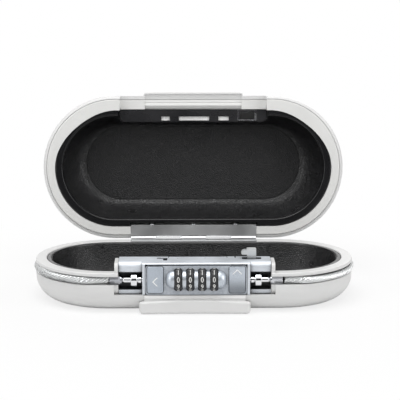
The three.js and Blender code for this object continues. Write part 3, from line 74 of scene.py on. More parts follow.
# Camera. The photograph looks down a little at the open safe from straight in front, from about
# a metre away, with a long lens.
camera_target = Vector((4.45, 0, 73.06)) * mm
camera_azimuth = math.radians(-0.73)
camera_elevation = math.radians(11.07)
camera_distance = 1098.6 * mm
camera_back = Vector((
    math.sin(camera_azimuth) * math.cos(camera_elevation),
    -math.cos(camera_azimuth) * math.cos(camera_elevation),
    math.sin(camera_elevation),
))
camera_data = bpy.data.cameras.new("camera")
camera_data.sensor_width = 36
camera_data.lens = 130.7
camera_data.clip_start = 0.05
camera = bpy.data.objects.new("camera", camera_data)
camera.location = camera_target + camera_back * camera_distance
camera.rotation_euler = (-camera_back).to_track_quat("-Z", "Y").to_euler()
bpy.context.scene.collection.objects.link(camera)
bpy.context.scene.camera = camera
bpy.context.scene.view_settings.view_transform = "Standard"


# Studio. A pale sweep under the safe, a large soft lamp above and in front, a second at the left,
# and a weak one behind that picks out the lid's edge.
def blank_material(name):
    material = bpy.data.materials.new(name)
    material.use_nodes = True
    material.node_tree.nodes.clear()
    output = material.node_tree.nodes.new("ShaderNodeOutputMaterial")
    return material, material.node_tree, output


def soft_lamp(name, place, aim, size, power):
    lamp = bpy.data.lights.new(name, "AREA")
    lamp.shape = "RECTANGLE"
    lamp.size = size[0]
    lamp.size_y = size[1]
    lamp.energy = power
    holder = bpy.data.objects.new(name, lamp)
    holder.location = place
    holder.rotation_euler = (Vector(aim) - Vector(place)).to_track_quat("-Z", "Y").to_euler()
    bpy.context.scene.collection.objects.link(holder)
    return holder


soft_lamp("lamp_above", (-0.15, -0.25, 1.15), (0, 0.02, 0.05), (1.1, 0.8), 9.5)
soft_lamp("lamp_left", (-1.0, -0.75, 0.55), (0, 0, 0.07), (0.6, 0.9), 3.5)
soft_lamp("lamp_right", (1.0, -0.55, 0.5), (0, 0, 0.07), (0.5, 0.8), 3.8)
soft_lamp("lamp_behind", (0.3, 1.0, 0.8), (0, 0.06, 0.1), (0.9, 0.5), 3)

world = bpy.data.worlds.new("studio")
world.use_nodes = True
bpy.context.scene.world = world
world_tree = world.node_tree
world_tree.nodes.clear()
world_output = world_tree.nodes.new("ShaderNodeOutputWorld")
world_seen = world_tree.nodes.new("ShaderNodeBackground")
world_seen.inputs["Color"].default_value = (1, 1, 1, 1)
world_lit = world_tree.nodes.new("ShaderNodeBackground")
world_lit.inputs["Strength"].default_value = 0.38
world_ray = world_tree.nodes.new("ShaderNodeLightPath")
world_mirror = world_tree.nodes.new("ShaderNodeMath")
world_mirror.operation = "MAXIMUM"
world_shown = world_tree.nodes.new("ShaderNodeMath")
world_shown.operation = "MAXIMUM"
world_mix = world_tree.nodes.new("ShaderNodeMixShader")
world_tree.links.new(world_ray.outputs["Is Glossy Ray"], world_mirror.inputs[0])
world_tree.links.new(world_ray.outputs["Is Transmission Ray"], world_mirror.inputs[1])
world_tree.links.new(world_ray.outputs["Is Camera Ray"], world_shown.inputs[0])
world_tree.links.new(world_mirror.outputs[0], world_shown.inputs[1])
world_tree.links.new(world_shown.outputs[0], world_mix.inputs["Fac"])
world_tree.links.new(world_lit.outputs[0], world_mix.inputs[1])
world_tree.links.new(world_seen.outputs[0], world_mix.inputs[2])
world_tree.links.new(world_mix.outputs[0], world_output.inputs["Surface"])


# Black flags stand round the table, as beside any shiny product: only reflections show them
flag_cloth, flag_tree, flag_output = blank_material("flag_cloth")
flag_shader = flag_tree.nodes.new("ShaderNodeBsdfDiffuse")
flag_shader.inputs["Color"].default_value = (0.012, 0.012, 0.013, 1)
flag_tree.links.new(flag_shader.outputs[0], flag_output.inputs["Surface"])


def black_flag(name, place, aim, size):
    bpy.ops.mesh.primitive_plane_add(size=1, location=place)
    flag = bpy.context.object
    flag.name = name
    flag.scale = (size[0], size[1], 1)
    flag.rotation_euler = (Vector(aim) - Vector(place)).to_track_quat("-Z", "Y").to_euler()
    flag.data.materials.append(flag_cloth)
    flag.visible_camera = False
    flag.visible_diffuse = False
    flag.visible_transmission = False
    flag.visible_shadow = False
    flag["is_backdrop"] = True


black_flag("flag_front", (0, -2.2, 0.55), (0, 0, 0.1), (3.2, 1.3))
black_flag("flag_left", (-2.0, 0.3, 0.45), (0, 0, 0.1), (1.5, 1.0))
black_flag("flag_right", (2.0, 0.3, 0.45), (0, 0, 0.1), (1.5, 1.0))

bpy.ops.mesh.primitive_plane_add(size=30, location=(0, 0, -0.0002))
floor = bpy.context.object
floor.name = "floor"
floor_material, floor_tree, floor_output = blank_material("floor_paper")
floor_paper = floor_tree.nodes.new("ShaderNodeBsdfDiffuse")
floor_paper.inputs["Color"].default_value = (0.86, 0.86, 0.86, 1)
floor_white = floor_tree.nodes.new("ShaderNodeEmission")
floor_white.inputs["Color"].default_value = (1, 1, 1, 1)
floor_ray = floor_tree.nodes.new("ShaderNodeLightPath")
floor_where = floor_tree.nodes.new("ShaderNodeTexCoord")
floor_away = floor_tree.nodes.new("ShaderNodeVectorMath")
floor_away.operation = "LENGTH"
floor_fade = floor_tree.nodes.new("ShaderNodeMapRange")
floor_fade.interpolation_type = "SMOOTHSTEP"
floor_fade.inputs["From Min"].default_value = 0.10
floor_fade.inputs["From Max"].default_value = 0.30
floor_fade.inputs["To Min"].default_value = 0.76
floor_seen = floor_tree.nodes.new("ShaderNodeMath")
floor_seen.operation = "MULTIPLY"
floor_mix = floor_tree.nodes.new("ShaderNodeMixShader")
floor_tree.links.new(floor_where.outputs["Object"], floor_away.inputs[0])
floor_tree.links.new(floor_away.outputs["Value"], floor_fade.inputs["Value"])
floor_tree.links.new(floor_fade.outputs["Result"], floor_seen.inputs[0])
floor_tree.links.new(floor_ray.outputs["Is Camera Ray"], floor_seen.inputs[1])
floor_tree.links.new(floor_seen.outputs[0], floor_mix.inputs["Fac"])
floor_tree.links.new(floor_paper.outputs[0], floor_mix.inputs[1])
floor_tree.links.new(floor_white.outputs[0], floor_mix.inputs[2])
floor_tree.links.new(floor_mix.outputs[0], floor_output.inputs["Surface"])
floor.data.materials.append(floor_material)
floor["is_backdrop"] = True

# Base moulding. One injection-moulded shell of white ABS with large rounds, open at the top, cut
# away in front for the lock, with a chin below it. Its satin comes from a fine spark-eroded mould.
seam = 0.3 * mm
rim_low, rim_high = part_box("base_rim")
base_low, base_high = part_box("base_shell")
lid_hinge_at = Vector(joints["lid_hinge"]["pos_m"])
parting = lid_hinge_at.z
end_radius = 57 * mm
straight = base_high.x - end_radius
edge_round = 14 * mm
base_round = 17.5 * mm
wall = 2.6 * mm
chin_front = base_low.y


def quarter_round(centre_r, centre_z, radius, start, end, steps=12):
    points = []
    for i in range(steps + 1):
        turn = math.radians(start + (end - start) * i / steps)
        points.append((centre_r + radius * math.cos(turn), centre_z + radius * math.sin(turn)))
    return points


def stadium_loop(radius, z, half, forward, steps):
    loop = []
    for side in (1, -1):
        for i in range(steps + 1):
            turn = (i / steps - 0.5) * math.pi
            loop.append(Vector((
                side * (half + radius * math.cos(turn)),
                side * radius * math.sin(turn) - forward,
                z,
            )))
    return loop


def skin(name, loops, runs_round=False):
    shape = bmesh.new()
    rings = [[shape.verts.new(point) for point in loop] for loop in loops]
    count = len(rings[0])
    pairs = list(zip(rings, rings[1:]))
    if runs_round:
        pairs.append((rings[-1], rings[0]))
    else:
        shape.faces.new(list(reversed(rings[0])))
        shape.faces.new(rings[-1])
    for here, there in pairs:
        for j in range(count):
            k = (j + 1) % count
            shape.faces.new((here[j], here[k], there[k], there[j]))
    bmesh.ops.recalc_face_normals(shape, faces=shape.faces)
    mesh = bpy.data.meshes.new(name)
    shape.to_mesh(mesh)
    shape.free()
    piece = bpy.data.objects.new(name, mesh)
    bpy.context.scene.collection.objects.link(piece)
    return piece


def stadium(name, section, runs_round=False, steps=36):
    loops = []
    for point in section:
        half = point[2] if len(point) > 2 else straight
        forward = point[3] if len(point) > 3 else 0
        loops.append(stadium_loop(point[0], point[1], half, forward, steps))
    return skin(name, loops, runs_round)


def bar(x0, x1, y0, y1, z0, z1):
    return skin("bar", [
        [Vector((x, y0, z0)), Vector((x, y1, z0)), Vector((x, y1, z1)), Vector((x, y0, z1))]
        for x in (x0, x1)
    ])


def plate_along_x(points, x0, x1):
    return skin("plate", [[Vector((x, y, z)) for y, z in points] for x in (x0, x1)])


def combine(target, others, operation):
    for other in others:
        change = target.modifiers.new("combine", "BOOLEAN")
        change.operation = operation
        change.solver = "EXACT"
        change.object = other
    settled = bpy.context.evaluated_depsgraph_get()
    mesh = bpy.data.meshes.new_from_object(target.evaluated_get(settled))
    target.modifiers.clear()
    target.data = mesh
    for other in others:
        bpy.data.objects.remove(other)
    return target


def carve(target, *cutters):
    return combine(target, cutters, "DIFFERENCE")


def fuse(target, *others):
    return combine(target, others, "UNION")


def soften(piece, width, sharp=30):
    for face in piece.data.polygons:
        face.use_smooth = True
    if piece not in cad_nodes:
        piece.data.set_sharp_from_angle(angle=math.radians(sharp))
    if width:
        rounding = piece.modifiers.new("rounding", "BEVEL")
        rounding.width = width
        rounding.segments = 2
        rounding.limit_method = "ANGLE"
        rounding.angle_limit = math.radians(sharp)
        rounding.use_clamp_overlap = True
        rounding.harden_normals = False
    shading = piece.modifiers.new("shading", "WEIGHTED_NORMAL")
    shading.keep_sharp = True
    shading.weight = 80
    return piece


def effect(name, inputs, outputs):
    group = bpy.data.node_groups.new(name, "ShaderNodeTree")
    for label, kind, value in inputs:
        socket = group.interface.new_socket(label, in_out="INPUT", socket_type=kind)
        socket.default_value = value
    for label, kind in outputs:
        group.interface.new_socket(label, in_out="OUTPUT", socket_type=kind)
    return group, group.nodes.new("NodeGroupInput"), group.nodes.new("NodeGroupOutput")


# Moulded grain: a fine satin texture with slight clouding from the mould and from handling
grain, grain_in, grain_out = effect(
    "moulded_grain",
    [("Grain Size", "NodeSocketFloat", 0.0005), ("Clouding", "NodeSocketFloat", 0.03)],
    [("Height", "NodeSocketFloat"), ("Tone", "NodeSocketFloat"), ("Gloss", "NodeSocketFloat")],
)
grain_where = grain.nodes.new("ShaderNodeTexCoord")
grain_scale = grain.nodes.new("ShaderNodeMath")
grain_scale.operation = "DIVIDE"
grain_scale.inputs[0].default_value = 1
grain_fine = grain.nodes.new("ShaderNodeTexNoise")
grain_fine.inputs["Detail"].default_value = 3
grain_cloud = grain.nodes.new("ShaderNodeTexNoise")
grain_cloud.inputs["Scale"].default_value = 38
grain_cloud.inputs["Detail"].default_value = 5
grain_tone = grain.nodes.new("ShaderNodeMapRange")
grain_tone.inputs["From Min"].default_value = 0.3
grain_tone.inputs["From Max"].default_value = 0.7
grain_tone.inputs["To Max"].default_value = 1
grain_low = grain.nodes.new("ShaderNodeMath")
grain_low.operation = "SUBTRACT"
grain_low.inputs[0].default_value = 1
grain_gloss = grain.nodes.new("ShaderNodeMapRange")
grain_gloss.inputs["From Min"].default_value = 0.3
grain_gloss.inputs["From Max"].default_value = 0.7
grain.links.new(grain_in.outputs["Grain Size"], grain_scale.inputs[1])
grain.links.new(grain_where.outputs["Object"], grain_fine.inputs["Vector"])
grain.links.new(grain_scale.outputs[0], grain_fine.inputs["Scale"])
grain.links.new(grain_where.outputs["Object"], grain_cloud.inputs["Vector"])
grain.links.new(grain_cloud.outputs["Fac"], grain_tone.inputs["Value"])
grain.links.new(grain_in.outputs["Clouding"], grain_low.inputs[1])
grain.links.new(grain_low.outputs[0], grain_tone.inputs["To Min"])
grain.links.new(grain_cloud.outputs["Fac"], grain_gloss.inputs["Value"])
grain.links.new(grain_fine.outputs["Fac"], grain_out.inputs["Height"])
grain.links.new(grain_tone.outputs["Result"], grain_out.inputs["Tone"])
grain.links.new(grain_gloss.outputs["Result"], grain_out.inputs["Gloss"])


def moulded_plastic(name, colour, gloss, grain_size, depth, clouding):
    material, tree, output = blank_material(name)
    shader = tree.nodes.new("ShaderNodeBsdfPrincipled")
    shader.inputs["IOR"].default_value = 1.5
    texture = tree.nodes.new("ShaderNodeGroup")
    texture.node_tree = grain
    texture.inputs["Grain Size"].default_value = grain_size
    texture.inputs["Clouding"].default_value = clouding
    tint = tree.nodes.new("ShaderNodeMix")
    tint.data_type = "RGBA"
    tint.inputs["A"].default_value = tuple(0.55 * c for c in colour) + (1,)
    tint.inputs["B"].default_value = tuple(colour) + (1,)
    dull = tree.nodes.new("ShaderNodeMapRange")
    dull.inputs["To Min"].default_value = gloss - 0.05
    dull.inputs["To Max"].default_value = gloss + 0.07
    relief = tree.nodes.new("ShaderNodeBump")
    relief.inputs["Strength"].default_value = 0.35
    relief.inputs["Distance"].default_value = depth
    tree.links.new(texture.outputs["Tone"], tint.inputs["Factor"])
    tree.links.new(tint.outputs["Result"], shader.inputs["Base Color"])
    tree.links.new(texture.outputs["Gloss"], dull.inputs["Value"])
    tree.links.new(dull.outputs["Result"], shader.inputs["Roughness"])
    tree.links.new(texture.outputs["Height"], relief.inputs["Height"])
    tree.links.new(relief.outputs["Normal"], shader.inputs["Normal"])
    tree.links.new(shader.outputs[0], output.inputs["Surface"])
    return material


white_abs = moulded_plastic("white_abs", (0.74, 0.74, 0.735), 0.36, 0.45 * mm, 0.03 * mm, 0.05)
rim_abs = moulded_plastic("rim_abs", (0.76, 0.76, 0.745), 0.40, 0.45 * mm, 0.03 * mm, 0.05)


def dress(piece, material, body, slot, *replaced):
    piece.data.materials.clear()
    piece.data.materials.append(material)
    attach(piece, body)
    if replaced:
        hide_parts(*replaced)
    return piece


shelf_z = base_high.z
lock_low, lock_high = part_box("lock_case")
sill = lock_low.z - seam
notch_half = 58.6 * mm
chin_half = 40.5 * mm
chin_height = 8.9 * mm
chin_arch = 1.7 * mm
ledge_half = 36.7 * mm


def chin_loop(x):
    edge = max(0, abs(x) - (chin_half - 3.2 * mm)) / (3.2 * mm)
    tuck = 2.4 * mm * (1 - math.sqrt(max(0, 1 - edge * edge)))
    lift = chin_arch * (1 - (x / chin_half) ** 2) - 0.45 * tuck
    front = chin_front + tuck
    inner = -(end_radius - wall / 2)
    top = chin_height + lift
    low = 0.05 * mm + lift * 0.2 + tuck * 0.9
    points = [(-(end_radius - base_round) + 1 * mm, 0)]
    points += [(front + 2 * mm + 2 * mm * math.cos(t), low + 2 * mm + 2 * mm * math.sin(t))
               for t in [math.radians(a) for a in (255, 240, 225, 210, 195, 180)]]
    points += [(front + 1.6 * mm + 1.6 * mm * math.cos(t), top - 1.6 * mm + 1.6 * mm * math.sin(t))
               for t in [math.radians(a) for a in (180, 162, 144, 126, 108, 90)]]
    points += [(inner, top), (inner + 3.2 * mm, 5.2 * mm), (inner + 7.7 * mm, 2.2 * mm),
               (-(end_radius - base_round) + 1 * mm, 1.3 * mm)]
    return [Vector((x, y, z)) for y, z in points]


chin_stations = [chin_half * math.sin(math.radians(a)) for a in range(-90, 91, 6)]
chin = skin("chin", [chin_loop(x) for x in chin_stations])
ledge = skin("ledge", [
    [Vector((x, y, z)) for y, z in (
        (chin_front + 1.6 * mm, chin_height - 1 * mm),
        (chin_front + 2.7 * mm, chin_height + 1.2 * mm),
        (chin_front + 1.9 * mm, chin_height + 2.9 * mm),
        (chin_front + 2.1 * mm, chin_height + 3.2 * mm),
        (lock_low.y - 0.8 * mm, sill),
        (-(end_radius - wall) - 0.1 * mm, sill),
        (-(end_radius - wall) - 0.1 * mm, chin_height - 1 * mm),
    )] for x in (-ledge_half, ledge_half)
])
base_corner = end_radius - base_round
base_moulding = stadium("base_moulding", [
    (2 * mm, 0),
    (base_corner * 0.6, 0),
    *quarter_round(base_corner, base_round, base_round, -90, 0),
    (end_radius, shelf_z - 0.7 * mm),
    (end_radius - 0.15 * mm, shelf_z - 0.25 * mm),
    (end_radius - 0.5 * mm, shelf_z),
    (end_radius - wall, shelf_z),
    *quarter_round(base_corner, base_round, base_round - wall, 0, -90),
    (2 * mm, wall),
])
carve(base_moulding, bar(-notch_half, notch_half, -70 * mm, -35 * mm, sill, 40 * mm))
fuse(base_moulding, chin, ledge)
soften(base_moulding, 0.35 * mm)
dress(base_moulding, white_abs, "base", "white_plastic", "base_shell")

# Base rim. A second white moulding pressed into the shell: a flat ring, a rounded lip that hangs
# over the cable, and the saddle with its two ears that the lock is screwed into.
rim_top = rim_high.z if rim_high.z < parting else parting - seam / 2
lip = 2.8 * mm
lip_under = rim_top - lip
cable_low, cable_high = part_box("security_cable")
cable_radius = (cable_high.z - cable_low.z) / 2 / math.cos(math.pi / 8)
cable_z = (cable_high.z + cable_low.z) / 2
cable_r = cable_high.y - (cable_high.z - cable_low.z) / 2
groove_back = cable_r - cable_radius - seam
rim_inner = end_radius - 8 * mm
rim_web = groove_back - 2.5 * mm
rim_low_z = rim_top - 16 * mm
skirt = end_radius - wall - seam
ring_sweep = [
    (rim_inner, rim_top - 0.6 * mm),
    (rim_inner, rim_top - 2.6 * mm),
    (rim_web, rim_top - 3.2 * mm),
    (rim_web, rim_low_z),
    (skirt - 1.5 * mm, rim_low_z),
    (skirt, rim_low_z + 2 * mm),
    (skirt, shelf_z),
    (groove_back, shelf_z),
    (groove_back, lip_under),
    (end_radius - 0.6 * mm, lip_under),
    *quarter_round(end_radius - 0.6 * mm, lip_under + 0.6 * mm, 0.6 * mm, -70, 0, 4),
    *quarter_round(end_radius - 1.0 * mm, rim_top - 1.0 * mm, 1.0 * mm, 0, 90, 6),
    *quarter_round(rim_inner + 0.6 * mm, rim_top - 0.6 * mm, 0.6 * mm, 90, 170, 4),
]
lock_half = lock_high.x
ear_outer = lock_half + seam + 2.6 * mm
saddle_back = lock_high.y + seam + 1.8 * mm
saddle_floor = sill - 1.5 * mm
ear_top = rim_high.z
ear_profile = [
    (-end_radius + 0.6 * mm, lip_under),
    (-end_radius + 0.6 * mm, ear_top - 4.2 * mm),
    *[(-end_radius + 4.4 * mm + 3.8 * mm * math.cos(t), ear_top - 3.8 * mm + 3.8 * mm * math.sin(t))
      for t in [math.radians(a) for a in (170, 155, 140, 125, 110, 95)]],
    (lock_high.y - 2.4 * mm, ear_top),
    (lock_high.y - 1.2 * mm, ear_top - 0.5 * mm),
    (lock_high.y - 0.4 * mm, ear_top - 1.8 * mm),
    (saddle_back, rim_top - 0.1 * mm),
    (saddle_back, lip_under),
]
ears = [plate_along_x(ear_profile, min(a, b), max(a, b)) for a, b in (
    (-ear_outer, -lock_half - seam), (lock_half + seam, ear_outer))]
saddle_top = bar(-ear_outer, ear_outer, -rim_web - 1 * mm, saddle_back, saddle_floor, rim_top)
saddle_shelf = bar(-ear_outer, ear_outer, -skirt + 0.5 * mm, -rim_web, saddle_floor, sill)
hinge_low, hinge_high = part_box("base_hinge_leaf")
hinge_half = hinge_high.x + seam
hinge_plate_z = rim_top - 0.1 * mm - 1 * mm - seam
pin_box = [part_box("cable_ferrule_left"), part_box("cable_ferrule_right")]
pin_y = (pin_box[0][0].y + pin_box[0][1].y) / 2


def turned(name, profile, y, z, segments=48):
    loops = []
    for j in range(segments):
        turn = 2 * math.pi * j / segments
        loops.append([Vector((x, y + r * math.cos(turn), z + r * math.sin(turn))) for x, r in profile])
    shape = bmesh.new()
    rings = [[shape.verts.new(point) for point in loop] for loop in loops]
    for here, there in zip(rings, rings[1:] + rings[:1]):
        for i in range(len(profile)):
            k = (i + 1) % len(profile)
            shape.faces.new((here[i], here[k], there[k], there[i]))
    bmesh.ops.remove_doubles(shape, verts=shape.verts, dist=1e-7)
    bmesh.ops.dissolve_degenerate(shape, edges=shape.edges, dist=1e-7)
    bmesh.ops.recalc_face_normals(shape, faces=shape.faces)
    mesh = bpy.data.meshes.new(name)
    shape.to_mesh(mesh)
    shape.free()
    piece = bpy.data.objects.new(name, mesh)
    bpy.context.scene.collection.objects.link(piece)
    return piece


def rod(x0, x1, y, z, radius, segments=48):
    return turned("rod", [(x0, 0), (x0, radius), (x1, radius), (x1, 0)], y, z, segments)


# The cable's route: out of the left ferrule, round the back in the groove, and in to the right one
def cable_route(spacing):
    left = pin_box[0][0].x - seam
    right = pin_box[1][1].x + seam
    lead = math.radians(24)
    corner_x = straight + cable_r * math.sin(lead)
    corner_y = -cable_r * math.cos(lead)

    def lead_in(x, side):
        start = Vector((x, pin_y, cable_z))
        end = Vector((side * corner_x, corner_y, cable_z))
        reach = (end - start).length * 0.4
        near = start + Vector((side * reach, 0, 0))
        far = end - Vector((side * math.cos(lead), math.sin(lead), 0)) * reach
        points = []
        for i in range(25):
            t = i / 24
            points.append(start * (1 - t) ** 3 + near * 3 * t * (1 - t) ** 2
                          + far * 3 * t * t * (1 - t) + end * t ** 3)
        return points

    route = lead_in(left, -1)
    steps = 90
    for i in range(1, steps + 1):
        turn = lead - math.pi / 2 + (math.pi - lead) * i / steps
        route.append(Vector((-(straight + cable_r * math.cos(turn)), cable_r * math.sin(turn), cable_z)))
    for i in range(1, 60):
        route.append(Vector((-straight + 2 * straight * i / 60, cable_r, cable_z)))
    for i in range(steps, 0, -1):
        turn = lead - math.pi / 2 + (math.pi - lead) * i / steps
        route.append(Vector((straight + cable_r * math.cos(turn), cable_r * math.sin(turn), cable_z)))
    route += list(reversed(lead_in(right, 1)))
    evened = [route[0]]
    since = 0.0
    for here, there in zip(route, route[1:]):
        length = (there - here).length
        along = spacing - since
        while along <= length:
            evened.append(here.lerp(there, along / length))
            along += spacing
        since = length - (along - spacing)
    return evened


def tube(name, route, radius, sides, twist=0.0, offset=0.0, phase=0.0):
    up = Vector((0, 0, 1))
    centres = []
    outwards = []
    for i, point in enumerate(route):
        ahead = route[min(i + 1, len(route) - 1)] - route[max(i - 1, 0)]
        across = ahead.normalized().cross(up)
        turn = phase + twist * i
        outward = across * math.cos(turn) + up * math.sin(turn)
        centres.append(point + outward * offset)
        outwards.append(outward)
    loops = []
    for i, centre in enumerate(centres):
        ahead = (centres[min(i + 1, len(centres) - 1)] - centres[max(i - 1, 0)]).normalized()
        outward = (outwards[i] - ahead * outwards[i].dot(ahead)).normalized()
        side = ahead.cross(outward)
        loops.append([centre + radius * (outward * math.cos(2 * math.pi * j / sides)
                                         + side * math.sin(2 * math.pi * j / sides))
                      for j in range(sides)])
    return skin(name, loops)


fine_route = cable_route(2 * mm)
cable_ways = [tube("cable_way", fine_route[:16], cable_radius + 0.5 * mm, 20),
              tube("cable_way", fine_route[-16:], cable_radius + 0.5 * mm, 20)]
base_ring = stadium("base_ring", ring_sweep, runs_round=True)
fuse(base_ring, saddle_top, saddle_shelf, *ears)
carve(
    base_ring,
    bar(-lock_half - seam, lock_half + seam, -60 * mm, lock_high.y + seam, sill, 45 * mm),
    bar(pin_box[0][0].x - 2 * mm, pin_box[1][1].x + 2 * mm, -60 * mm, pin_y + 3.5 * mm,
        cable_z - 3.3 * mm, lip_under),
    *cable_ways,
    bar(-hinge_half, hinge_half, rim_inner - 1 * mm, 60 * mm, hinge_plate_z, 40 * mm),
    bar(-hinge_half, hinge_half, rim_inner - 1 * mm, rim_web, rim_top - 17 * mm, 40 * mm),
    rod(-hinge_half, hinge_half, lid_hinge_at.y, parting, 2.9 * mm, 32),
)
soften(base_ring, 0.2 * mm)
dress(base_ring, white_abs, "base", "white_plastic", "base_rim")


# Base liner. A stiff tray of grained sheet, vacuum-formed over a tool, with a flat shiny lip
# where it was clamped and soft creases where it was drawn round the ends.
def liner_loops(lip_r, panel_r, panel_half, depth, forward, thick, crown, steps, lip_wide=3.9 * mm):
    start = Vector((lip_r - lip_wide, 1.1 * mm))
    edge = lip_r - lip_wide
    end = Vector((panel_r, depth))
    bend = Vector((panel_r + (start.x - end.x) * 0.5, depth - 0.6 * mm))
    section = []
    for share in (0.02, 0.2, 0.4, 0.6, 0.75, 0.87, 0.95):
        r = panel_r * share
        half = panel_half
        section.append((r, depth - crown * (1 - share ** 4), half, forward, 0.0))
    groove = [(0.985, 0.12), (1.0, 0.45), (1.015, 0.12)]
    for share, dip in groove:
        section.append((panel_r * share, depth + dip * mm * 0.6, panel_half, forward, 0.2))
    for i in range(1, 15):
        t = i / 14
        point = end * (1 - t) ** 2 + bend * 2 * t * (1 - t) + start * t * t
        share = (point.x - end.x) / (start.x - end.x)
        half = panel_half + (straight - panel_half) * share
        section.append((point.x, point.y, half, forward * (1 - share), math.sin(math.pi * share)))
    section += [(edge + 0.3 * mm, 1.6 * mm), (edge + 0.65 * mm, 1.5 * mm), (edge + 0.85 * mm, 1.0 * mm),
                (edge + 1.1 * mm, 0.62 * mm), (edge + 1.5 * mm, 0.5 * mm), (lip_r - 0.8 * mm, 0.5 * mm),
                (lip_r - 0.3 * mm, 0.62 * mm), (lip_r, 1.0 * mm), (lip_r, 2.1 * mm),
                (lip_r - 2.4 * mm, 2.4 * mm)]
    for i in range(6, -1, -1):
        t = i / 6
        point = end * (1 - t) ** 2 + bend * 2 * t * (1 - t) + start * t * t
        share = (point.x - end.x) / (start.x - end.x)
        half = panel_half + (straight - panel_half) * share
        section.append((point.x + 1.2 * mm * share, point.y + thick, half, forward * (1 - share)))
    section.append((2 * mm, depth + thick, panel_half, forward))
    loops = []
    for point in section:
        half = point[2] if len(point) > 2 else straight
        shift = point[3] if len(point) > 3 else 0
        soft = point[4] if len(point) > 4 else 0
        loop = stadium_loop(point[0], point[1], half, shift, steps)
        if soft:
            for spot in loop:
                side = 1 if spot.x > 0 else -1
                round_end = max(0, abs(spot.x) - half) / max(point[0], 1e-6)
                angle = math.atan2(spot.y + shift, abs(spot.x) - half)
                crease = math.sin(17 * angle + 1.3 * side) * math.sin(7.3 * angle - 0.7)
                spot.z += 0.28 * mm * soft * round_end * crease
        loops.append(loop)
    return loops


def upside_down(loops, top):
    return [[Vector((p.x, p.y, top - p.z)) for p in reversed(loop)] for loop in loops]


liner_thick = 1.4 * mm
liner_depth = parting - wall - seam - liner_thick
base_tray = skin("base_tray", upside_down(
    liner_loops(rim_inner - seam, 35 * mm, straight - 2 * mm, liner_depth, 0, liner_thick, -0.5 * mm, 64), parting))
screw_boxes = [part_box("lock_screw_%d" % i) for i in (1, 2, 3, 4)]
screw_rooms = [bar(low.x - 0.6 * mm, high.x + 0.6 * mm, saddle_back, high.y + 0.8 * mm,
                   low.z - 0.6 * mm, high.z + 0.6 * mm) for low, high in screw_boxes]
carve(
    base_tray,
    bar(-ear_outer - seam, ear_outer + seam, -60 * mm, saddle_back + seam, saddle_floor - seam, 40 * mm),
    *screw_rooms,
    bar(hinge_low.x - 1 * mm, hinge_high.x + 1 * mm, rim_inner - 2.2 * mm, 60 * mm, parting - 14 * mm, 40 * mm),
)
soften(base_tray, 0, 40)

# Leather grain: pebbles parted by fine valleys, stretched and uneven as formed sheet is
leather, leather_in, leather_out = effect(
    "leather_grain",
    [("Pebble Size", "NodeSocketFloat", 0.0012), ("Unevenness", "NodeSocketFloat", 0.4)],
    [("Height", "NodeSocketFloat"), ("Tone", "NodeSocketFloat"), ("Gloss", "NodeSocketFloat")],
)
leather_where = leather.nodes.new("ShaderNodeTexCoord")
leather_scale = leather.nodes.new("ShaderNodeMath")
leather_scale.operation = "DIVIDE"
leather_scale.inputs[0].default_value = 1
leather_stir = leather.nodes.new("ShaderNodeTexNoise")
leather_stir.inputs["Scale"].default_value = 240
leather_stir.inputs["Detail"].default_value = 3
leather_push = leather.nodes.new("ShaderNodeVectorMath")
leather_push.operation = "MULTIPLY_ADD"
leather_push.inputs[1].default_value = (0.0011, 0.0011, 0.0011)
leather_cells = leather.nodes.new("ShaderNodeTexVoronoi")
leather_cells.feature = "DISTANCE_TO_EDGE"
leather_fine = leather.nodes.new("ShaderNodeTexNoise")
leather_fine.inputs["Scale"].default_value = 2600
leather_fine.inputs["Detail"].default_value = 2
leather_swell = leather.nodes.new("ShaderNodeMapRange")
leather_swell.interpolation_type = "SMOOTHSTEP"
leather_swell.inputs["From Max"].default_value = 0.22
leather_sum = leather.nodes.new("ShaderNodeMath")
leather_sum.operation = "MULTIPLY_ADD"
leather_sum.inputs[1].default_value = 0.35
leather_cloud = leather.nodes.new("ShaderNodeTexNoise")
leather_cloud.inputs["Scale"].default_value = 55
leather_cloud.inputs["Detail"].default_value = 4
leather.links.new(leather_in.outputs["Pebble Size"], leather_scale.inputs[1])
leather.links.new(leather_where.outputs["Object"], leather_stir.inputs["Vector"])
leather.links.new(leather_stir.outputs["Color"], leather_push.inputs[0])
leather.links.new(leather_where.outputs["Object"], leather_push.inputs[2])
leather.links.new(leather_push.outputs[0], leather_cells.inputs["Vector"])
leather.links.new(leather_scale.outputs[0], leather_cells.inputs["Scale"])
leather.links.new(leather_cells.outputs["Distance"], leather_swell.inputs["Value"])
leather.links.new(leather_where.outputs["Object"], leather_fine.inputs["Vector"])
leather.links.new(leather_fine.outputs["Fac"], leather_sum.inputs[0])
leather.links.new(leather_swell.outputs["Result"], leather_sum.inputs[2])
leather_wave = leather.nodes.new("ShaderNodeTexNoise")
leather_wave.inputs["Scale"].default_value = 95
leather_wave.inputs["Detail"].default_value = 1.5
leather_total = leather.nodes.new("ShaderNodeMath")
leather_total.operation = "MULTIPLY_ADD"
leather.links.new(leather_where.outputs["Object"], leather_wave.inputs["Vector"])
leather.links.new(leather_wave.outputs["Fac"], leather_total.inputs[0])
leather.links.new(leather_in.outputs["Unevenness"], leather_total.inputs[1])
leather.links.new(leather_sum.outputs[0], leather_total.inputs[2])
leather.links.new(leather_total.outputs[0], leather_out.inputs["Height"])
leather.links.new(leather_where.outputs["Object"], leather_cloud.inputs["Vector"])
leather.links.new(leather_swell.outputs["Result"], leather_out.inputs["Tone"])
leather.links.new(leather_cloud.outputs["Fac"], leather_out.inputs["Gloss"])


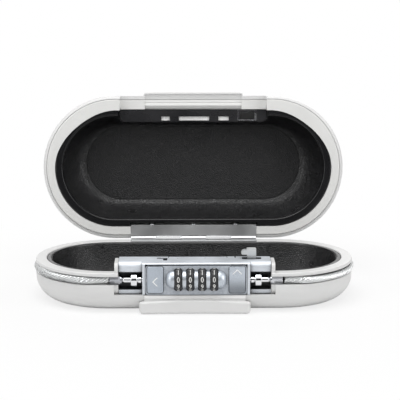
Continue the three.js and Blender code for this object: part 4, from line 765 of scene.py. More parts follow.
def formed_sheet(name, pebble, depth, uneven, dull_low, dull_high, sheen):
    material, tree, output = blank_material(name)
    shader = tree.nodes.new("ShaderNodeBsdfPrincipled")
    shader.inputs["Specular IOR Level"].default_value = sheen
    texture = tree.nodes.new("ShaderNodeGroup")
    texture.node_tree = leather
    texture.inputs["Pebble Size"].default_value = pebble
    texture.inputs["Unevenness"].default_value = uneven
    tint = tree.nodes.new("ShaderNodeMix")
    tint.data_type = "RGBA"
    tint.inputs["A"].default_value = (0.003, 0.003, 0.0034, 1)
    tint.inputs["B"].default_value = (0.0095, 0.0095, 0.0105, 1)
    dull = tree.nodes.new("ShaderNodeMapRange")
    dull.inputs["From Min"].default_value = 0.3
    dull.inputs["From Max"].default_value = 0.7
    dull.inputs["To Min"].default_value = dull_low
    dull.inputs["To Max"].default_value = dull_high
    relief = tree.nodes.new("ShaderNodeBump")
    relief.inputs["Strength"].default_value = 0.8
    relief.inputs["Distance"].default_value = depth
    tree.links.new(texture.outputs["Tone"], tint.inputs["Factor"])
    tree.links.new(tint.outputs["Result"], shader.inputs["Base Color"])
    tree.links.new(texture.outputs["Gloss"], dull.inputs["Value"])
    tree.links.new(dull.outputs["Result"], shader.inputs["Roughness"])
    tree.links.new(texture.outputs["Height"], relief.inputs["Height"])
    tree.links.new(relief.outputs["Normal"], shader.inputs["Normal"])
    tree.links.new(shader.outputs[0], output.inputs["Surface"])
    return material


slope_sheet = formed_sheet("slope_sheet", 1.5 * mm, 0.22 * mm, 2.2, 0.26, 0.38, 0.5)
panel_sheet = formed_sheet("panel_sheet", 1.25 * mm, 0.2 * mm, 1.4, 0.34, 0.48, 0.42)
dress(base_tray, slope_sheet, "base", "liner", "base_liner")
lip_gloss = moulded_plastic("liner_lip", (0.012, 0.012, 0.013), 0.2, 0.8 * mm, 0.01 * mm, 0.1)


def paint_lip(piece, lip_r, panel_r, panel_half, forward, inside, lip_wide=3.9 * mm):
    piece.data.materials.append(lip_gloss)
    piece.data.materials.append(panel_sheet)
    for face in piece.data.polygons:
        x, y, z = inside(face.center)
        away = math.hypot(max(0, abs(x) - straight), y)
        if away > lip_r - lip_wide + 0.2 * mm:
            face.material_index = 1
        elif math.hypot(max(0, abs(x) - panel_half), y + forward) < panel_r:
            face.material_index = 2


paint_lip(base_tray, rim_inner - seam, 35 * mm, straight - 2 * mm, 0, lambda spot: (spot.x, spot.y, parting - spot.z))

# Security cable. Six strands laid round a core, under a clear sleeve, lying in the groove under
# the lip; each end is crimped in a dark ferrule and screwed to a turned, plated pin.
strand_radius = 0.86 * mm
lay_radius = 1.72 * mm
lay_step = 1.4 * mm
lay_turn = 2 * math.pi * lay_step / (19 * mm)
strand_route = cable_route(lay_step)
strands = [tube("cable_strand_%d" % (k + 1), strand_route, strand_radius, 9, lay_turn, lay_radius,
                2 * math.pi * k / 6) for k in range(6)]
core = tube("cable_core", strand_route, 1.0 * mm, 8)
sleeve = tube("cable_sleeve", strand_route, cable_radius, 24)


def plated_metal(name, colour, dull, grain_size, depth, metal=1.0):
    material, tree, output = blank_material(name)
    shader = tree.nodes.new("ShaderNodeBsdfPrincipled")
    shader.inputs["Metallic"].default_value = metal
    texture = tree.nodes.new("ShaderNodeGroup")
    texture.node_tree = grain
    texture.inputs["Grain Size"].default_value = grain_size
    texture.inputs["Clouding"].default_value = 0.25
    tint = tree.nodes.new("ShaderNodeMix")
    tint.data_type = "RGBA"
    tint.inputs["A"].default_value = tuple(0.6 * c for c in colour) + (1,)
    tint.inputs["B"].default_value = tuple(colour) + (1,)
    rough = tree.nodes.new("ShaderNodeMapRange")
    rough.inputs["To Min"].default_value = dull * 0.75
    rough.inputs["To Max"].default_value = dull * 1.35
    relief = tree.nodes.new("ShaderNodeBump")
    relief.inputs["Strength"].default_value = 0.5
    relief.inputs["Distance"].default_value = depth
    tree.links.new(texture.outputs["Tone"], tint.inputs["Factor"])
    tree.links.new(tint.outputs["Result"], shader.inputs["Base Color"])
    tree.links.new(texture.outputs["Gloss"], rough.inputs["Value"])
    tree.links.new(rough.outputs["Result"], shader.inputs["Roughness"])
    tree.links.new(texture.outputs["Height"], relief.inputs["Height"])
    tree.links.new(relief.outputs["Normal"], shader.inputs["Normal"])
    tree.links.new(shader.outputs[0], output.inputs["Surface"])
    return material


strand_steel = plated_metal("strand_steel", (0.82, 0.83, 0.83), 0.24, 0.35 * mm, 0.04 * mm)
clear_sleeve, sleeve_tree, sleeve_output = blank_material("clear_sleeve")
sleeve_shader = sleeve_tree.nodes.new("ShaderNodeBsdfPrincipled")
sleeve_shader.inputs["Base Color"].default_value = (0.97, 0.975, 0.98, 1)
sleeve_shader.inputs["Roughness"].default_value = 0.12
sleeve_shader.inputs["IOR"].default_value = 1.35
sleeve_shader.inputs["Transmission Weight"].default_value = 1
sleeve_tree.links.new(sleeve_shader.outputs[0], sleeve_output.inputs["Surface"])
for strand in strands:
    soften(strand, 0)
    dress(strand, strand_steel, "base", "cable")
soften(core, 0)
dress(core, strand_steel, "base", "cable")
soften(sleeve, 0)
dress(sleeve, clear_sleeve, "base", "cable", "security_cable")

chrome = plated_metal("chrome", (0.86, 0.87, 0.89), 0.07, 1.5 * mm, 0.006 * mm)
dark_nickel = plated_metal("dark_nickel", (0.16, 0.165, 0.18), 0.24, 0.6 * mm, 0.02 * mm)
bright_steel = plated_metal("bright_steel", (0.60, 0.61, 0.63), 0.24, 0.5 * mm, 0.02 * mm)
# Painted light and shade: the left ferrule takes a darker, duller copy of the steel than the right
ferrule_steel_lit_and_shaded = {"left": plated_metal("ferrule_steel_shaded_left", (0.44, 0.45, 0.48), 0.14, 0.6 * mm, 0.02 * mm),
                "right": plated_metal("ferrule_steel_lit_right", (0.62, 0.63, 0.66), 0.10, 0.6 * mm, 0.02 * mm)}
lock_middle = (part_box("lock_faceplate")[0].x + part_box("lock_faceplate")[1].x) / 2

# Along a ferrule: share of its length, radius of the round sleeve in mm, and how far it is pressed
# into a hexagon whose corner faces the front
ferrule_stations = [
    (0, 2.3, 0), (0.012, 2.65, 0), (0.03, 2.85, 0), (0.06, 2.95, 0), (0.13, 2.95, 0), (0.16, 2.95, 0.85),
    (0.19, 2.95, 1), (0.49, 2.95, 1), (0.515, 2.95, 0.75), (0.53, 2.95, 0.35), (0.55, 2.95, 0.35),
    (0.565, 2.95, 0.75), (0.59, 2.95, 1), (0.88, 2.95, 1), (0.91, 2.95, 0.85), (0.94, 2.93, 0),
    (0.975, 2.85, 0), (0.992, 2.65, 0), (1, 2.3, 0),
]


def crimp_loop(x, round_r, flat, sides=72):
    loop = []
    for j in range(sides):
        turn = 2 * math.pi * j / sides
        aside = (turn % (math.pi / 3)) - math.pi / 6
        pressed = min(3.3, 2.86 / math.cos(aside))
        r = (round_r * (1 - flat) + pressed * flat) * mm
        loop.append(Vector((x, pin_y + r * math.cos(turn), cable_z + r * math.sin(turn))))
    return loop


for side, end in ((-1, "left"), (1, "right")):
    inner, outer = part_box("cable_pin_" + end)
    tip = inner.x if side == 1 else outer.x

    def at(distance):
        return (tip + side * distance * mm, distance)

    outline = [(0, 0), (0, 1.3), (0.5, 1.8), (1.7, 1.8), (1.7, 1.1), (3.3, 1.1), (3.3, 1.8), (7.7, 1.8),
               (7.7, 2.3), (7.9, 2.65), (8.3, 2.8), (9.9, 2.8), (10.25, 2.65), (10.4, 2.3), (10.9, 2.3),
               (10.9, 4.4), (11.1, 4.8), (11.5, 5.0), (15.1, 5.0), (15.5, 4.8), (15.7, 4.4), (15.7, 2.3),
               (20.4, 2.3), (20.7, 2.15), (21.0, 1.9), (21.6, 1.9), (21.6, 0)]
    pin = turned("turned_pin_" + end, [(tip + side * x * mm, r * mm) for x, r in outline], pin_y, cable_z, 56)
    soften(pin, 0.06 * mm, 40)
    dress(pin, chrome, "base", "chrome", "cable_pin_" + end)
    low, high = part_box("cable_ferrule_" + end)
    start = low.x if side == 1 else high.x
    length = high.x - low.x
    ferrule = skin("crimped_ferrule_" + end, [crimp_loop(start + side * share * length, round_r, flat)
                                              for share, round_r, flat in ferrule_stations])
    soften(ferrule, 0, 24)
    dress(ferrule, ferrule_steel_lit_and_shaded[end], "base", "dark_steel", "cable_ferrule_" + end)

# Lock. A zinc pressure casting with a fine sand-blasted skin and brighter worn edges; the face
# plate is a second casting with the barrel that covers the dials.
wear, wear_in, wear_out = effect(
    "edge_wear", [("Spread", "NodeSocketFloat", 0.06)], [("Mask", "NodeSocketFloat")])
wear_shape = wear.nodes.new("ShaderNodeNewGeometry")
wear_where = wear.nodes.new("ShaderNodeTexCoord")
wear_break = wear.nodes.new("ShaderNodeTexNoise")
wear_break.inputs["Scale"].default_value = 700
wear_break.inputs["Detail"].default_value = 4
wear_high = wear.nodes.new("ShaderNodeMath")
wear_high.operation = "ADD"
wear_high.inputs[0].default_value = 0.52
wear_map = wear.nodes.new("ShaderNodeMapRange")
wear_map.inputs["From Min"].default_value = 0.52
wear_cut = wear.nodes.new("ShaderNodeMath")
wear_cut.operation = "MULTIPLY"
wear.links.new(wear_in.outputs["Spread"], wear_high.inputs[1])
wear.links.new(wear_high.outputs[0], wear_map.inputs["From Max"])
wear.links.new(wear_shape.outputs["Pointiness"], wear_map.inputs["Value"])
wear.links.new(wear_where.outputs["Object"], wear_break.inputs["Vector"])
wear.links.new(wear_map.outputs["Result"], wear_cut.inputs[0])
wear.links.new(wear_break.outputs["Fac"], wear_cut.inputs[1])
wear.links.new(wear_cut.outputs[0], wear_out.inputs["Mask"])


# Painted shade: a mask that darkens recesses and gaps where shade falls, found by how little of the sky a point sees
painted_shade, painted_shade_in, painted_shade_out = effect(
    "painted_shade", [("Reach", "NodeSocketFloat", 0.004), ("Amount", "NodeSocketFloat", 0.8)],
    [("Mask", "NodeSocketFloat")])
painted_shade_ao = painted_shade.nodes.new("ShaderNodeAmbientOcclusion")
painted_shade_ao.samples = 8
painted_shade_map = painted_shade.nodes.new("ShaderNodeMapRange")
painted_shade_map.interpolation_type = "SMOOTHSTEP"
painted_shade_map.inputs["From Min"].default_value = 0.38
painted_shade_map.inputs["From Max"].default_value = 0.95
painted_shade_map.inputs["To Min"].default_value = 1
painted_shade_map.inputs["To Max"].default_value = 0
painted_shade_scale = painted_shade.nodes.new("ShaderNodeMath")
painted_shade_scale.operation = "MULTIPLY"
painted_shade.links.new(painted_shade_in.outputs["Reach"], painted_shade_ao.inputs["Distance"])
painted_shade.links.new(painted_shade_ao.outputs["AO"], painted_shade_map.inputs["Value"])
painted_shade.links.new(painted_shade_map.outputs["Result"], painted_shade_scale.inputs[0])
painted_shade.links.new(painted_shade_in.outputs["Amount"], painted_shade_scale.inputs[1])
painted_shade.links.new(painted_shade_scale.outputs[0], painted_shade_out.inputs["Mask"])


def cast_zinc(name, colour, dull, metal=0.6, reach=5 * mm, skin_size=0.3 * mm, shade_amount=0.85):
    material, tree, output = blank_material(name)
    shader = tree.nodes.new("ShaderNodeBsdfPrincipled")
    shader.inputs["Metallic"].default_value = metal
    texture = tree.nodes.new("ShaderNodeGroup")
    texture.node_tree = grain
    texture.inputs["Grain Size"].default_value = skin_size
    texture.inputs["Clouding"].default_value = 0.35
    worn = tree.nodes.new("ShaderNodeGroup")
    worn.node_tree = wear
    worn.inputs["Spread"].default_value = 0.08
    shade_mask = tree.nodes.new("ShaderNodeGroup")
    shade_mask.node_tree = painted_shade
    shade_mask.inputs["Reach"].default_value = reach
    shade_mask.inputs["Amount"].default_value = shade_amount
    speckle = tree.nodes.new("ShaderNodeMath")
    speckle.operation = "MULTIPLY_ADD"
    speckle.inputs[1].default_value = 0.9
    tint = tree.nodes.new("ShaderNodeMix")
    tint.data_type = "RGBA"
    tint.inputs["A"].default_value = tuple(0.62 * c for c in colour) + (1,)
    tint.inputs["B"].default_value = tuple(1.12 * c for c in colour) + (1,)
    edge = tree.nodes.new("ShaderNodeMix")
    edge.data_type = "RGBA"
    edge.inputs["B"].default_value = (0.62, 0.65, 0.69, 1)
    # Painted shade: the base colour goes towards near-black where the shade mask finds recesses and gaps
    painted_shade_mix = tree.nodes.new("ShaderNodeMix")
    painted_shade_mix.data_type = "RGBA"
    painted_shade_mix.inputs["B"].default_value = (0.02, 0.021, 0.024, 1)
    rough = tree.nodes.new("ShaderNodeMapRange")
    rough.inputs["To Min"].default_value = dull - 0.07
    rough.inputs["To Max"].default_value = dull + 0.1
    relief = tree.nodes.new("ShaderNodeBump")
    relief.inputs["Strength"].default_value = 0.8
    relief.inputs["Distance"].default_value = 0.06 * mm
    mix_speckle = tree.nodes.new("ShaderNodeMath")
    mix_speckle.operation = "SUBTRACT"
    mix_speckle.inputs[1].default_value = 0.42
    tree.links.new(texture.outputs["Height"], mix_speckle.inputs[0])
    tree.links.new(mix_speckle.outputs[0], speckle.inputs[0])
    tree.links.new(texture.outputs["Tone"], speckle.inputs[2])
    tree.links.new(speckle.outputs[0], tint.inputs["Factor"])
    tree.links.new(tint.outputs["Result"], edge.inputs["A"])
    tree.links.new(worn.outputs["Mask"], edge.inputs["Factor"])
    tree.links.new(edge.outputs["Result"], painted_shade_mix.inputs["A"])
    tree.links.new(shade_mask.outputs["Mask"], painted_shade_mix.inputs["Factor"])
    tree.links.new(painted_shade_mix.outputs["Result"], shader.inputs["Base Color"])
    tree.links.new(texture.outputs["Gloss"], rough.inputs["Value"])
    tree.links.new(rough.outputs["Result"], shader.inputs["Roughness"])
    tree.links.new(texture.outputs["Height"], relief.inputs["Height"])
    tree.links.new(relief.outputs["Normal"], shader.inputs["Normal"])
    tree.links.new(shader.outputs[0], output.inputs["Surface"])
    return material


# The case's long shade reach paints its wing recesses and ledges dark
zinc = cast_zinc("cast_zinc", (0.64, 0.675, 0.72), 0.38, 0.3, 14 * mm, 0.3 * mm, 0.97)
zinc_face = cast_zinc("cast_zinc_face", (0.235, 0.265, 0.31), 0.34, 0.5, 3.5 * mm, 0.9 * mm, 0.9)
zinc_barrel = cast_zinc("cast_zinc_barrel", (0.50, 0.54, 0.59), 0.3, 0.6, 2.5 * mm, 0.5 * mm)
zinc_button = cast_zinc("cast_zinc_button", (0.44, 0.485, 0.545), 0.34, 0.5, 2 * mm, 0.6 * mm)
# The lid's button: painted shade, its base colour scaled darker towards its lower edge
zinc_lid_button_painted_shade = cast_zinc("cast_zinc_lid_button_painted_shade", (0.52, 0.565, 0.625), 0.3, 0.5, 2 * mm, 0.45 * mm)
pushed_tree = zinc_lid_button_painted_shade.node_tree
pushed_where = pushed_tree.nodes.new("ShaderNodeTexCoord")
pushed_parts = pushed_tree.nodes.new("ShaderNodeSeparateXYZ")
pushed_rise = pushed_tree.nodes.new("ShaderNodeMapRange")
pushed_rise.interpolation_type = "SMOOTHSTEP"
pushed_rise.inputs["From Min"].default_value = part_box("lid_button")[0].z + 2 * mm
pushed_rise.inputs["From Max"].default_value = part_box("lid_button")[0].z + 13 * mm
pushed_rise.inputs["To Min"].default_value = 0.42
pushed_rise.inputs["To Max"].default_value = 1
lid_button_shade_scale = pushed_tree.nodes.new("ShaderNodeVectorMath")
lid_button_shade_scale.operation = "SCALE"
pushed_link = pushed_tree.nodes["Principled BSDF"].inputs["Base Color"].links[0]
pushed_tree.links.new(pushed_where.outputs["Object"], pushed_parts.inputs[0])
pushed_tree.links.new(pushed_parts.outputs["Z"], pushed_rise.inputs["Value"])
pushed_tree.links.new(pushed_link.from_socket, lid_button_shade_scale.inputs[0])
pushed_tree.links.new(pushed_rise.outputs["Result"], lid_button_shade_scale.inputs["Scale"])
pushed_tree.links.new(lid_button_shade_scale.outputs[0], pushed_tree.nodes["Principled BSDF"].inputs["Base Color"])


def finish_node(name, material, width, sharp=30):
    piece = nodes[name]
    piece.data.materials.clear()
    piece.data.materials.append(material)
    weld = piece.modifiers.new("weld", "WELD")
    weld.merge_threshold = 2e-6
    flatten = piece.modifiers.new("flatten", "DECIMATE")
    flatten.decimate_type = "DISSOLVE"
    flatten.angle_limit = math.radians(1)
    soften(piece, width, sharp)
    return piece


finish_node("lock_case", zinc, 0.35 * mm)
finish_node("lock_back_cover", zinc, 0.25 * mm)
finish_node("lid_button", zinc_lid_button_painted_shade, 0.12 * mm)
finish_node("cable_button", zinc_button, 0.12 * mm)
finish_node("latch_hook", cast_zinc("hook_zinc", (0.62, 0.63, 0.62), 0.38), 0.3 * mm)
finish_node("code_lever", dark_nickel, 0.15 * mm)
for name in ("hook_pivot_pin", "detent_spring", "locking_comb", "cable_bolt", "cable_retainer", "dial_spindle",
             "dial_hub_1", "dial_hub_2", "dial_hub_3", "dial_hub_4", "hinge_pin"):
    finish_node(name, bright_steel, 0.1 * mm)

# Two small springs, wound from steel wire with closed ends, push the hook and the cable bolt back
def coil(name, x, y, z0, z1, radius, wire, turns):
    steps = 28
    total = int(steps * turns)
    loops = []
    for i in range(total + 1):
        turn = 2 * math.pi * i / steps
        share = min(1, max(0, (i / total - 0.12) / 0.76))
        centre = Vector((x + radius * math.cos(turn), y + radius * math.sin(turn),
                         z0 + wire + (z1 - z0 - 2 * wire) * share))
        out = Vector((math.cos(turn), math.sin(turn), 0))
        loops.append([centre + wire * (out * math.cos(a) + Vector((0, 0, 1)) * math.sin(a))
                      for a in [2 * math.pi * j / 8 for j in range(8)]])
    return skin(name, loops)


hook_room, hook_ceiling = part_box("hook_spring")
hook_coil = coil("hook_coil", (hook_room.x + hook_ceiling.x) / 2, (hook_room.y + hook_ceiling.y) / 2,
                 hook_room.z, hook_ceiling.z, 1.5 * mm, 0.26 * mm, 5)
soften(hook_coil, 0)
dress(hook_coil, bright_steel, "base", "steel", "hook_spring")
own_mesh(hook_coil)
bolt_room, bolt_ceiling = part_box("bolt_spring")
bolt_coil = coil("bolt_coil", (bolt_room.x + bolt_ceiling.x) / 2, (bolt_room.y + bolt_ceiling.y) / 2,
                 bolt_room.z, bolt_ceiling.z, 1.1 * mm, 0.22 * mm, 4)
soften(bolt_coil, 0)
dress(bolt_coil, bright_steel, "base", "steel", "bolt_spring")
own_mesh(bolt_coil)


# Pan-head screws with a cross recess, turned from wire and plated
def cross_screw(name, node, body, head_y, head_r, head_deep, shank_r, tip_y, turn_deg, place=None):
    low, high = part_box(node) if place is None else place
    x = (low.x + high.x) / 2
    z = (low.z + high.z) / 2
    way = 1 if tip_y > head_y else -1
    outline = [(head_y, 0), (head_y, head_r * 0.55), (head_y + way * head_deep * 0.12, head_r * 0.82),
               (head_y + way * head_deep * 0.4, head_r * 0.97), (head_y + way * head_deep * 0.75, head_r),
               (head_y + way * head_deep, head_r), (head_y + way * head_deep, shank_r)]
    threads = 7
    length = tip_y - way * 0.5 * mm - (head_y + way * head_deep)
    for i in range(threads):
        at = head_y + way * head_deep + length * (i + 0.5) / threads
        outline += [(at - length * 0.25 / threads, shank_r), (at, shank_r * 0.78)]
    outline += [(tip_y - way * 0.5 * mm, shank_r), (tip_y, shank_r * 0.3), (tip_y, 0)]
    loops = []
    for j in range(32):
        a = 2 * math.pi * j / 32
        loops.append([Vector((x + r * math.cos(a), y, z + r * math.sin(a))) for y, r in outline])
    shape = bmesh.new()
    rings = [[shape.verts.new(point) for point in loop] for loop in loops]
    for here, there in zip(rings, rings[1:] + rings[:1]):
        for i in range(len(outline) - 1):
            shape.faces.new((here[i], here[i + 1], there[i + 1], there[i]))
    bmesh.ops.remove_doubles(shape, verts=shape.verts, dist=1e-7)
    bmesh.ops.recalc_face_normals(shape, faces=shape.faces)
    mesh = bpy.data.meshes.new(name)
    shape.to_mesh(mesh)
    shape.free()
    screw = bpy.data.objects.new(name, mesh)
    bpy.context.scene.collection.objects.link(screw)
    cuts = []
    for extra in (0, 90):
        a = math.radians(turn_deg + extra)
        along = Vector((math.cos(a), 0, math.sin(a))) * head_r * 0.6
        across = Vector((-math.sin(a), 0, math.cos(a))) * head_r * 0.13
        middle = Vector((x, 0, z))
        front = head_y - way * 0.4 * mm
        deep = head_y + way * head_deep * 0.65
        cuts.append(skin("cross", [[
            middle + s * along * k + t * across + Vector((0, y, 0))
            for s, t in ((1, 1), (-1, 1), (-1, -1), (1, -1))] for y, k in ((front, 1), (deep, 0.55))]))
    carve(screw, *cuts)
    soften(screw, 0.03 * mm, 35)
    return screw


for i in (1, 2, 3, 4):
    low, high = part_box("lock_screw_%d" % i)
    screw = cross_screw("back_screw_%d" % i, "lock_screw_%d" % i, "base", high.y, 2.4 * mm, 1.2 * mm,
                        1.15 * mm, low.y, 25 * i)
    dress(screw, bright_steel, "base", "steel", "lock_screw_%d" % i)

# Face plate: window edges are rounded by hand filing, and the barrel tapers to blunt ends
plate_low, plate_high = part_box("lock_faceplate")
dial_at = [Vector(joints["dial_%d_turn" % i]["pos_m"]) for i in (1, 2, 3, 4)]
dial_low, dial_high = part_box("dial_1")
dial_width = dial_high.x - dial_low.x
dial_radius = 8.8 * mm
face_front = lock_low.y
plate_back = plate_high.y
barrel_half = 21.8 * mm
barrel_radius = 6.87 * mm
barrel_y = face_front + 2.07 * mm


def rounded_outline(x0, x1, z0, z1, radius, steps=8):
    points = []
    for cx, cz, start in ((x1 - radius, z0 + radius, -90), (x1 - radius, z1 - radius, 0),
                          (x0 + radius, z1 - radius, 90), (x0 + radius, z0 + radius, 180)):
        for i in range(steps + 1):
            turn = math.radians(start + 90 * i / steps)
            points.append((cx + radius * math.cos(turn), cz + radius * math.sin(turn)))
    return points


def slab(outline, y0, y1):
    return skin("slab", [[Vector((x, y, z)) for x, z in outline] for y in (y0, y1)])


barrel_profile = [(lock_middle - barrel_half, 0)]
barrel_taper = 5.6 * mm
for i in range(13):
    turn = math.pi / 2 * i / 12
    barrel_profile.append((lock_middle - barrel_half + barrel_taper * (1 - math.cos(turn)),
                           barrel_radius * (0.42 + 0.58 * math.sin(turn))))
for i in range(12, -1, -1):
    turn = math.pi / 2 * i / 12
    barrel_profile.append((lock_middle + barrel_half - barrel_taper * (1 - math.cos(turn)),
                           barrel_radius * (0.42 + 0.58 * math.sin(turn))))
barrel_profile.append((lock_middle + barrel_half, 0))
dial_z = dial_at[0].z
dial_y = dial_at[0].y
face_plate = slab(rounded_outline(plate_low.x, plate_high.x, plate_low.z, plate_high.z - 0.7 * mm, 2.2 * mm),
                  face_front, plate_back)
face_plate.name = "face_plate"
barrel = turned("barrel", barrel_profile, barrel_y, dial_z, 96)
carve(barrel, bar(-60 * mm, 60 * mm, plate_back, -30 * mm, 0, 60 * mm))
fuse(face_plate, barrel)
def wheel_profile(proud, steps=10):
    half = dial_width / 2 + proud
    flat = 1.1 * mm
    drop = 2.3 * mm
    profile = []
    for i in range(steps + 1):
        turn = math.pi / 2 * i / steps
        profile.append((-flat - (half - flat) * math.cos(turn), dial_radius + proud - drop * (1 - math.sin(turn))))
    return profile + [(-along, radius) for along, radius in reversed(profile)]


window_cuts = []
for spot in dial_at:
    shoulders = wheel_profile(0.28 * mm)
    window_cuts.append(turned("window", [(spot.x + shoulders[0][0], 3 * mm)]
                              + [(spot.x + along, radius) for along, radius in shoulders]
                              + [(spot.x + shoulders[-1][0], 3 * mm)], dial_y, dial_z, 96))
button_cuts = []
for name in ("lid_button", "cable_button"):
    low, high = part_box(name)
    width = 11.9 * mm
    centre = lock_middle + (29.7 * mm if name == "lid_button" else -29.7 * mm)
    button_cuts.append(slab(rounded_outline(centre - width / 2 - seam, centre + width / 2 + seam, low.z - seam,
                                            high.z + seam, 1.9 * mm), face_front - 1 * mm, plate_back + 1 * mm))
carve(
    face_plate,
    rod(lock_middle - 17.4 * mm, lock_middle + 19.2 * mm, dial_y, dial_z, 6.1 * mm, 64),
    rod(lock_middle - 22.3 * mm, lock_middle + 22.3 * mm, dial_y, dial_z, 2.3 * mm, 24),
    *window_cuts, *button_cuts,
)
soften(face_plate, 0.22 * mm, 35)
dress(face_plate, zinc_face, "base", "cast_zinc", "lock_faceplate")
face_plate.data.materials.append(zinc_barrel)
for face in face_plate.data.polygons:
    spot = face.center
    off_axis = math.hypot(spot.y - barrel_y, spot.z - dial_z)
    if abs(spot.x - lock_middle) < barrel_half and spot.y < face_front - 0.05 * mm and off_axis > 6 * mm * 0.4:
        face.material_index = 1

# Chevrons: pale fills at the bottom of the shallow marks in the two buttons, a painted highlight for the bright edges
# of the marks
button_low, button_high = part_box("lid_button")
button_z = (button_low.z + button_high.z) / 2
button_front = button_low.y
chevron_half = 3.2 * mm
chevron_stroke = 1.1 * mm
chevron_highlight_fill = moulded_plastic("chevron_highlight_fill", (0.90, 0.91, 0.92), 0.4, 0.4 * mm, 0.02 * mm, 0.06)


def chevron(name, body, points):
    mark = slab(points, button_front + 0.08 * mm, button_front + 0.38 * mm)
    mark.name = name
    soften(mark, 0)
    dress(mark, chevron_highlight_fill, body, "cast_zinc")


tip = button_z + 19.8 * 0.29 * mm
middle = button_high.x - 5.95 * mm
chevron("lid_chevron", "lid_button", [
    (middle - chevron_half, tip - 2 * mm), (middle, tip + 1.2 * mm), (middle + chevron_half, tip - 2 * mm),
    (middle + chevron_half, tip - 2 * mm + chevron_stroke), (middle, tip + 1.2 * mm + chevron_stroke),
    (middle - chevron_half, tip - 2 * mm + chevron_stroke)])
tip = button_z - 1.4 * mm
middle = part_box("cable_button")[0].x + 5.95 * mm
chevron("cable_chevron", "cable_button", [
    (middle + 2 * mm, tip - chevron_half), (middle - 1.2 * mm, tip), (middle + 2 * mm, tip + chevron_half),
    (middle + 2 * mm - chevron_stroke, tip + chevron_half), (middle - 1.2 * mm - chevron_stroke, tip),
    (middle + 2 * mm - chevron_stroke, tip - chevron_half)])

# Dials. Black moulded wheels with a finger groove between digits, and white digits printed in
# slightly sunk figures. All four stand at zero in the window.
dial_plastic = moulded_plastic("dial_plastic", (0.014, 0.014, 0.016), 0.30, 0.5 * mm, 0.02 * mm, 0.3)
digit_paint = moulded_plastic("digit_paint", (0.80, 0.80, 0.78), 0.45, 0.3 * mm, 0.02 * mm, 0.08)
digit_height = 4.1 * mm
digit_places = 10


def wheel(name, spot):
    shoulders = wheel_profile(0)
    section = [(shoulders[0][0], 4.6 * mm)] + shoulders + [(shoulders[-1][0], 4.6 * mm)]
    steps = 120
    loops = []
    for along, radius in section:
        loop = []
        for k in range(steps):
            turn = 2 * math.pi * k / steps
            between = (turn - math.pi / 2 - math.radians(8)) % (2 * math.pi / digit_places) / (2 * math.pi / digit_places)
            dip = 0
            if radius > 5 * mm:
                near = abs(between - 0.5) / 0.11
                dip = 0.42 * mm * max(0, 1 - near * near) ** 1.5
            reach = radius - dip
            loop.append(Vector((spot.x + along, spot.y - reach * math.sin(turn), spot.z + reach * math.cos(turn))))
        loops.append(loop)
    return skin(name, loops, runs_round=True)


def figure(name, value, spot, turn):
    text = bpy.data.curves.new(name, "FONT")
    text.body = str(value)
    text.align_x = "CENTER"
    text.align_y = "CENTER"
    text.size = digit_height * 1.38
    text.resolution_u = 6
    text.offset = 0.06 * mm
    holder = bpy.data.objects.new(name, text)
    bpy.context.scene.collection.objects.link(holder)
    settled = bpy.context.evaluated_depsgraph_get()
    mesh = bpy.data.meshes.new_from_object(holder.evaluated_get(settled))
    bpy.data.objects.remove(holder)
    shape = bmesh.new()
    shape.from_mesh(mesh)
    for v in shape.verts:
        v.co.x *= 0.76
    low = min(v.co.y for v in shape.verts)
    high = max(v.co.y for v in shape.verts)
    left = min(v.co.x for v in shape.verts)
    right = max(v.co.x for v in shape.verts)
    for v in shape.verts:
        v.co.x -= (left + right) / 2
        v.co.y -= (low + high) / 2
    for k in range(1, 10):
        level = (k / 10 - 0.5) * (high - low)
        bmesh.ops.bisect_plane(shape, geom=list(shape.verts) + list(shape.edges) + list(shape.faces),
                               plane_co=(0, level, 0), plane_no=(0, 1, 0))
    raised = bmesh.ops.extrude_face_region(shape, geom=list(shape.faces))
    tops = [item for item in raised["geom"] if isinstance(item, bmesh.types.BMVert)]
    for v in tops:
        v.co.z += 1
    for v in shape.verts:
        across, up, lift = v.co
        reach = dial_radius - 0.05 * mm + 0.09 * mm * lift
        angle = turn + up / dial_radius
        v.co = Vector((spot.x + across, spot.y - reach * math.cos(angle), spot.z + reach * math.sin(angle)))
    bmesh.ops.recalc_face_normals(shape, faces=shape.faces)
    shape.to_mesh(mesh)
    shape.free()
    piece = bpy.data.objects.new(name, mesh)
    bpy.context.scene.collection.objects.link(piece)
    return piece


for i, spot in enumerate(dial_at):
    body = "dial_%d" % (i + 1)
    disc = wheel("wheel_%d" % (i + 1), spot)
    soften(disc, 0)
    dress(disc, dial_plastic, body, "black_plastic", body)
    for value in range(digit_places):
        digit = figure("digit_%d_%d" % (i + 1, value), value, spot,
                       math.radians(8) + 2 * math.pi * value / digit_places)
        dress(digit, digit_paint, body, "black_plastic")

# Lid. The same white moulding turned over, with a brow over the lock; it is drawn here shut, in
# the base's own frame, and then swung back on its hinge to where it stands open.
lid_swing = math.radians(joints["lid_hinge"]["range_deg"][1])
lid_turn = (Matrix.Translation(lid_hinge_at) @ Matrix.Rotation(-lid_swing, 4, "X")
            @ Matrix.Translation(-lid_hinge_at))


def swing_open(piece):
    piece.data.transform(lid_turn)
    return piece


def lid_z(height):
    return parting + height


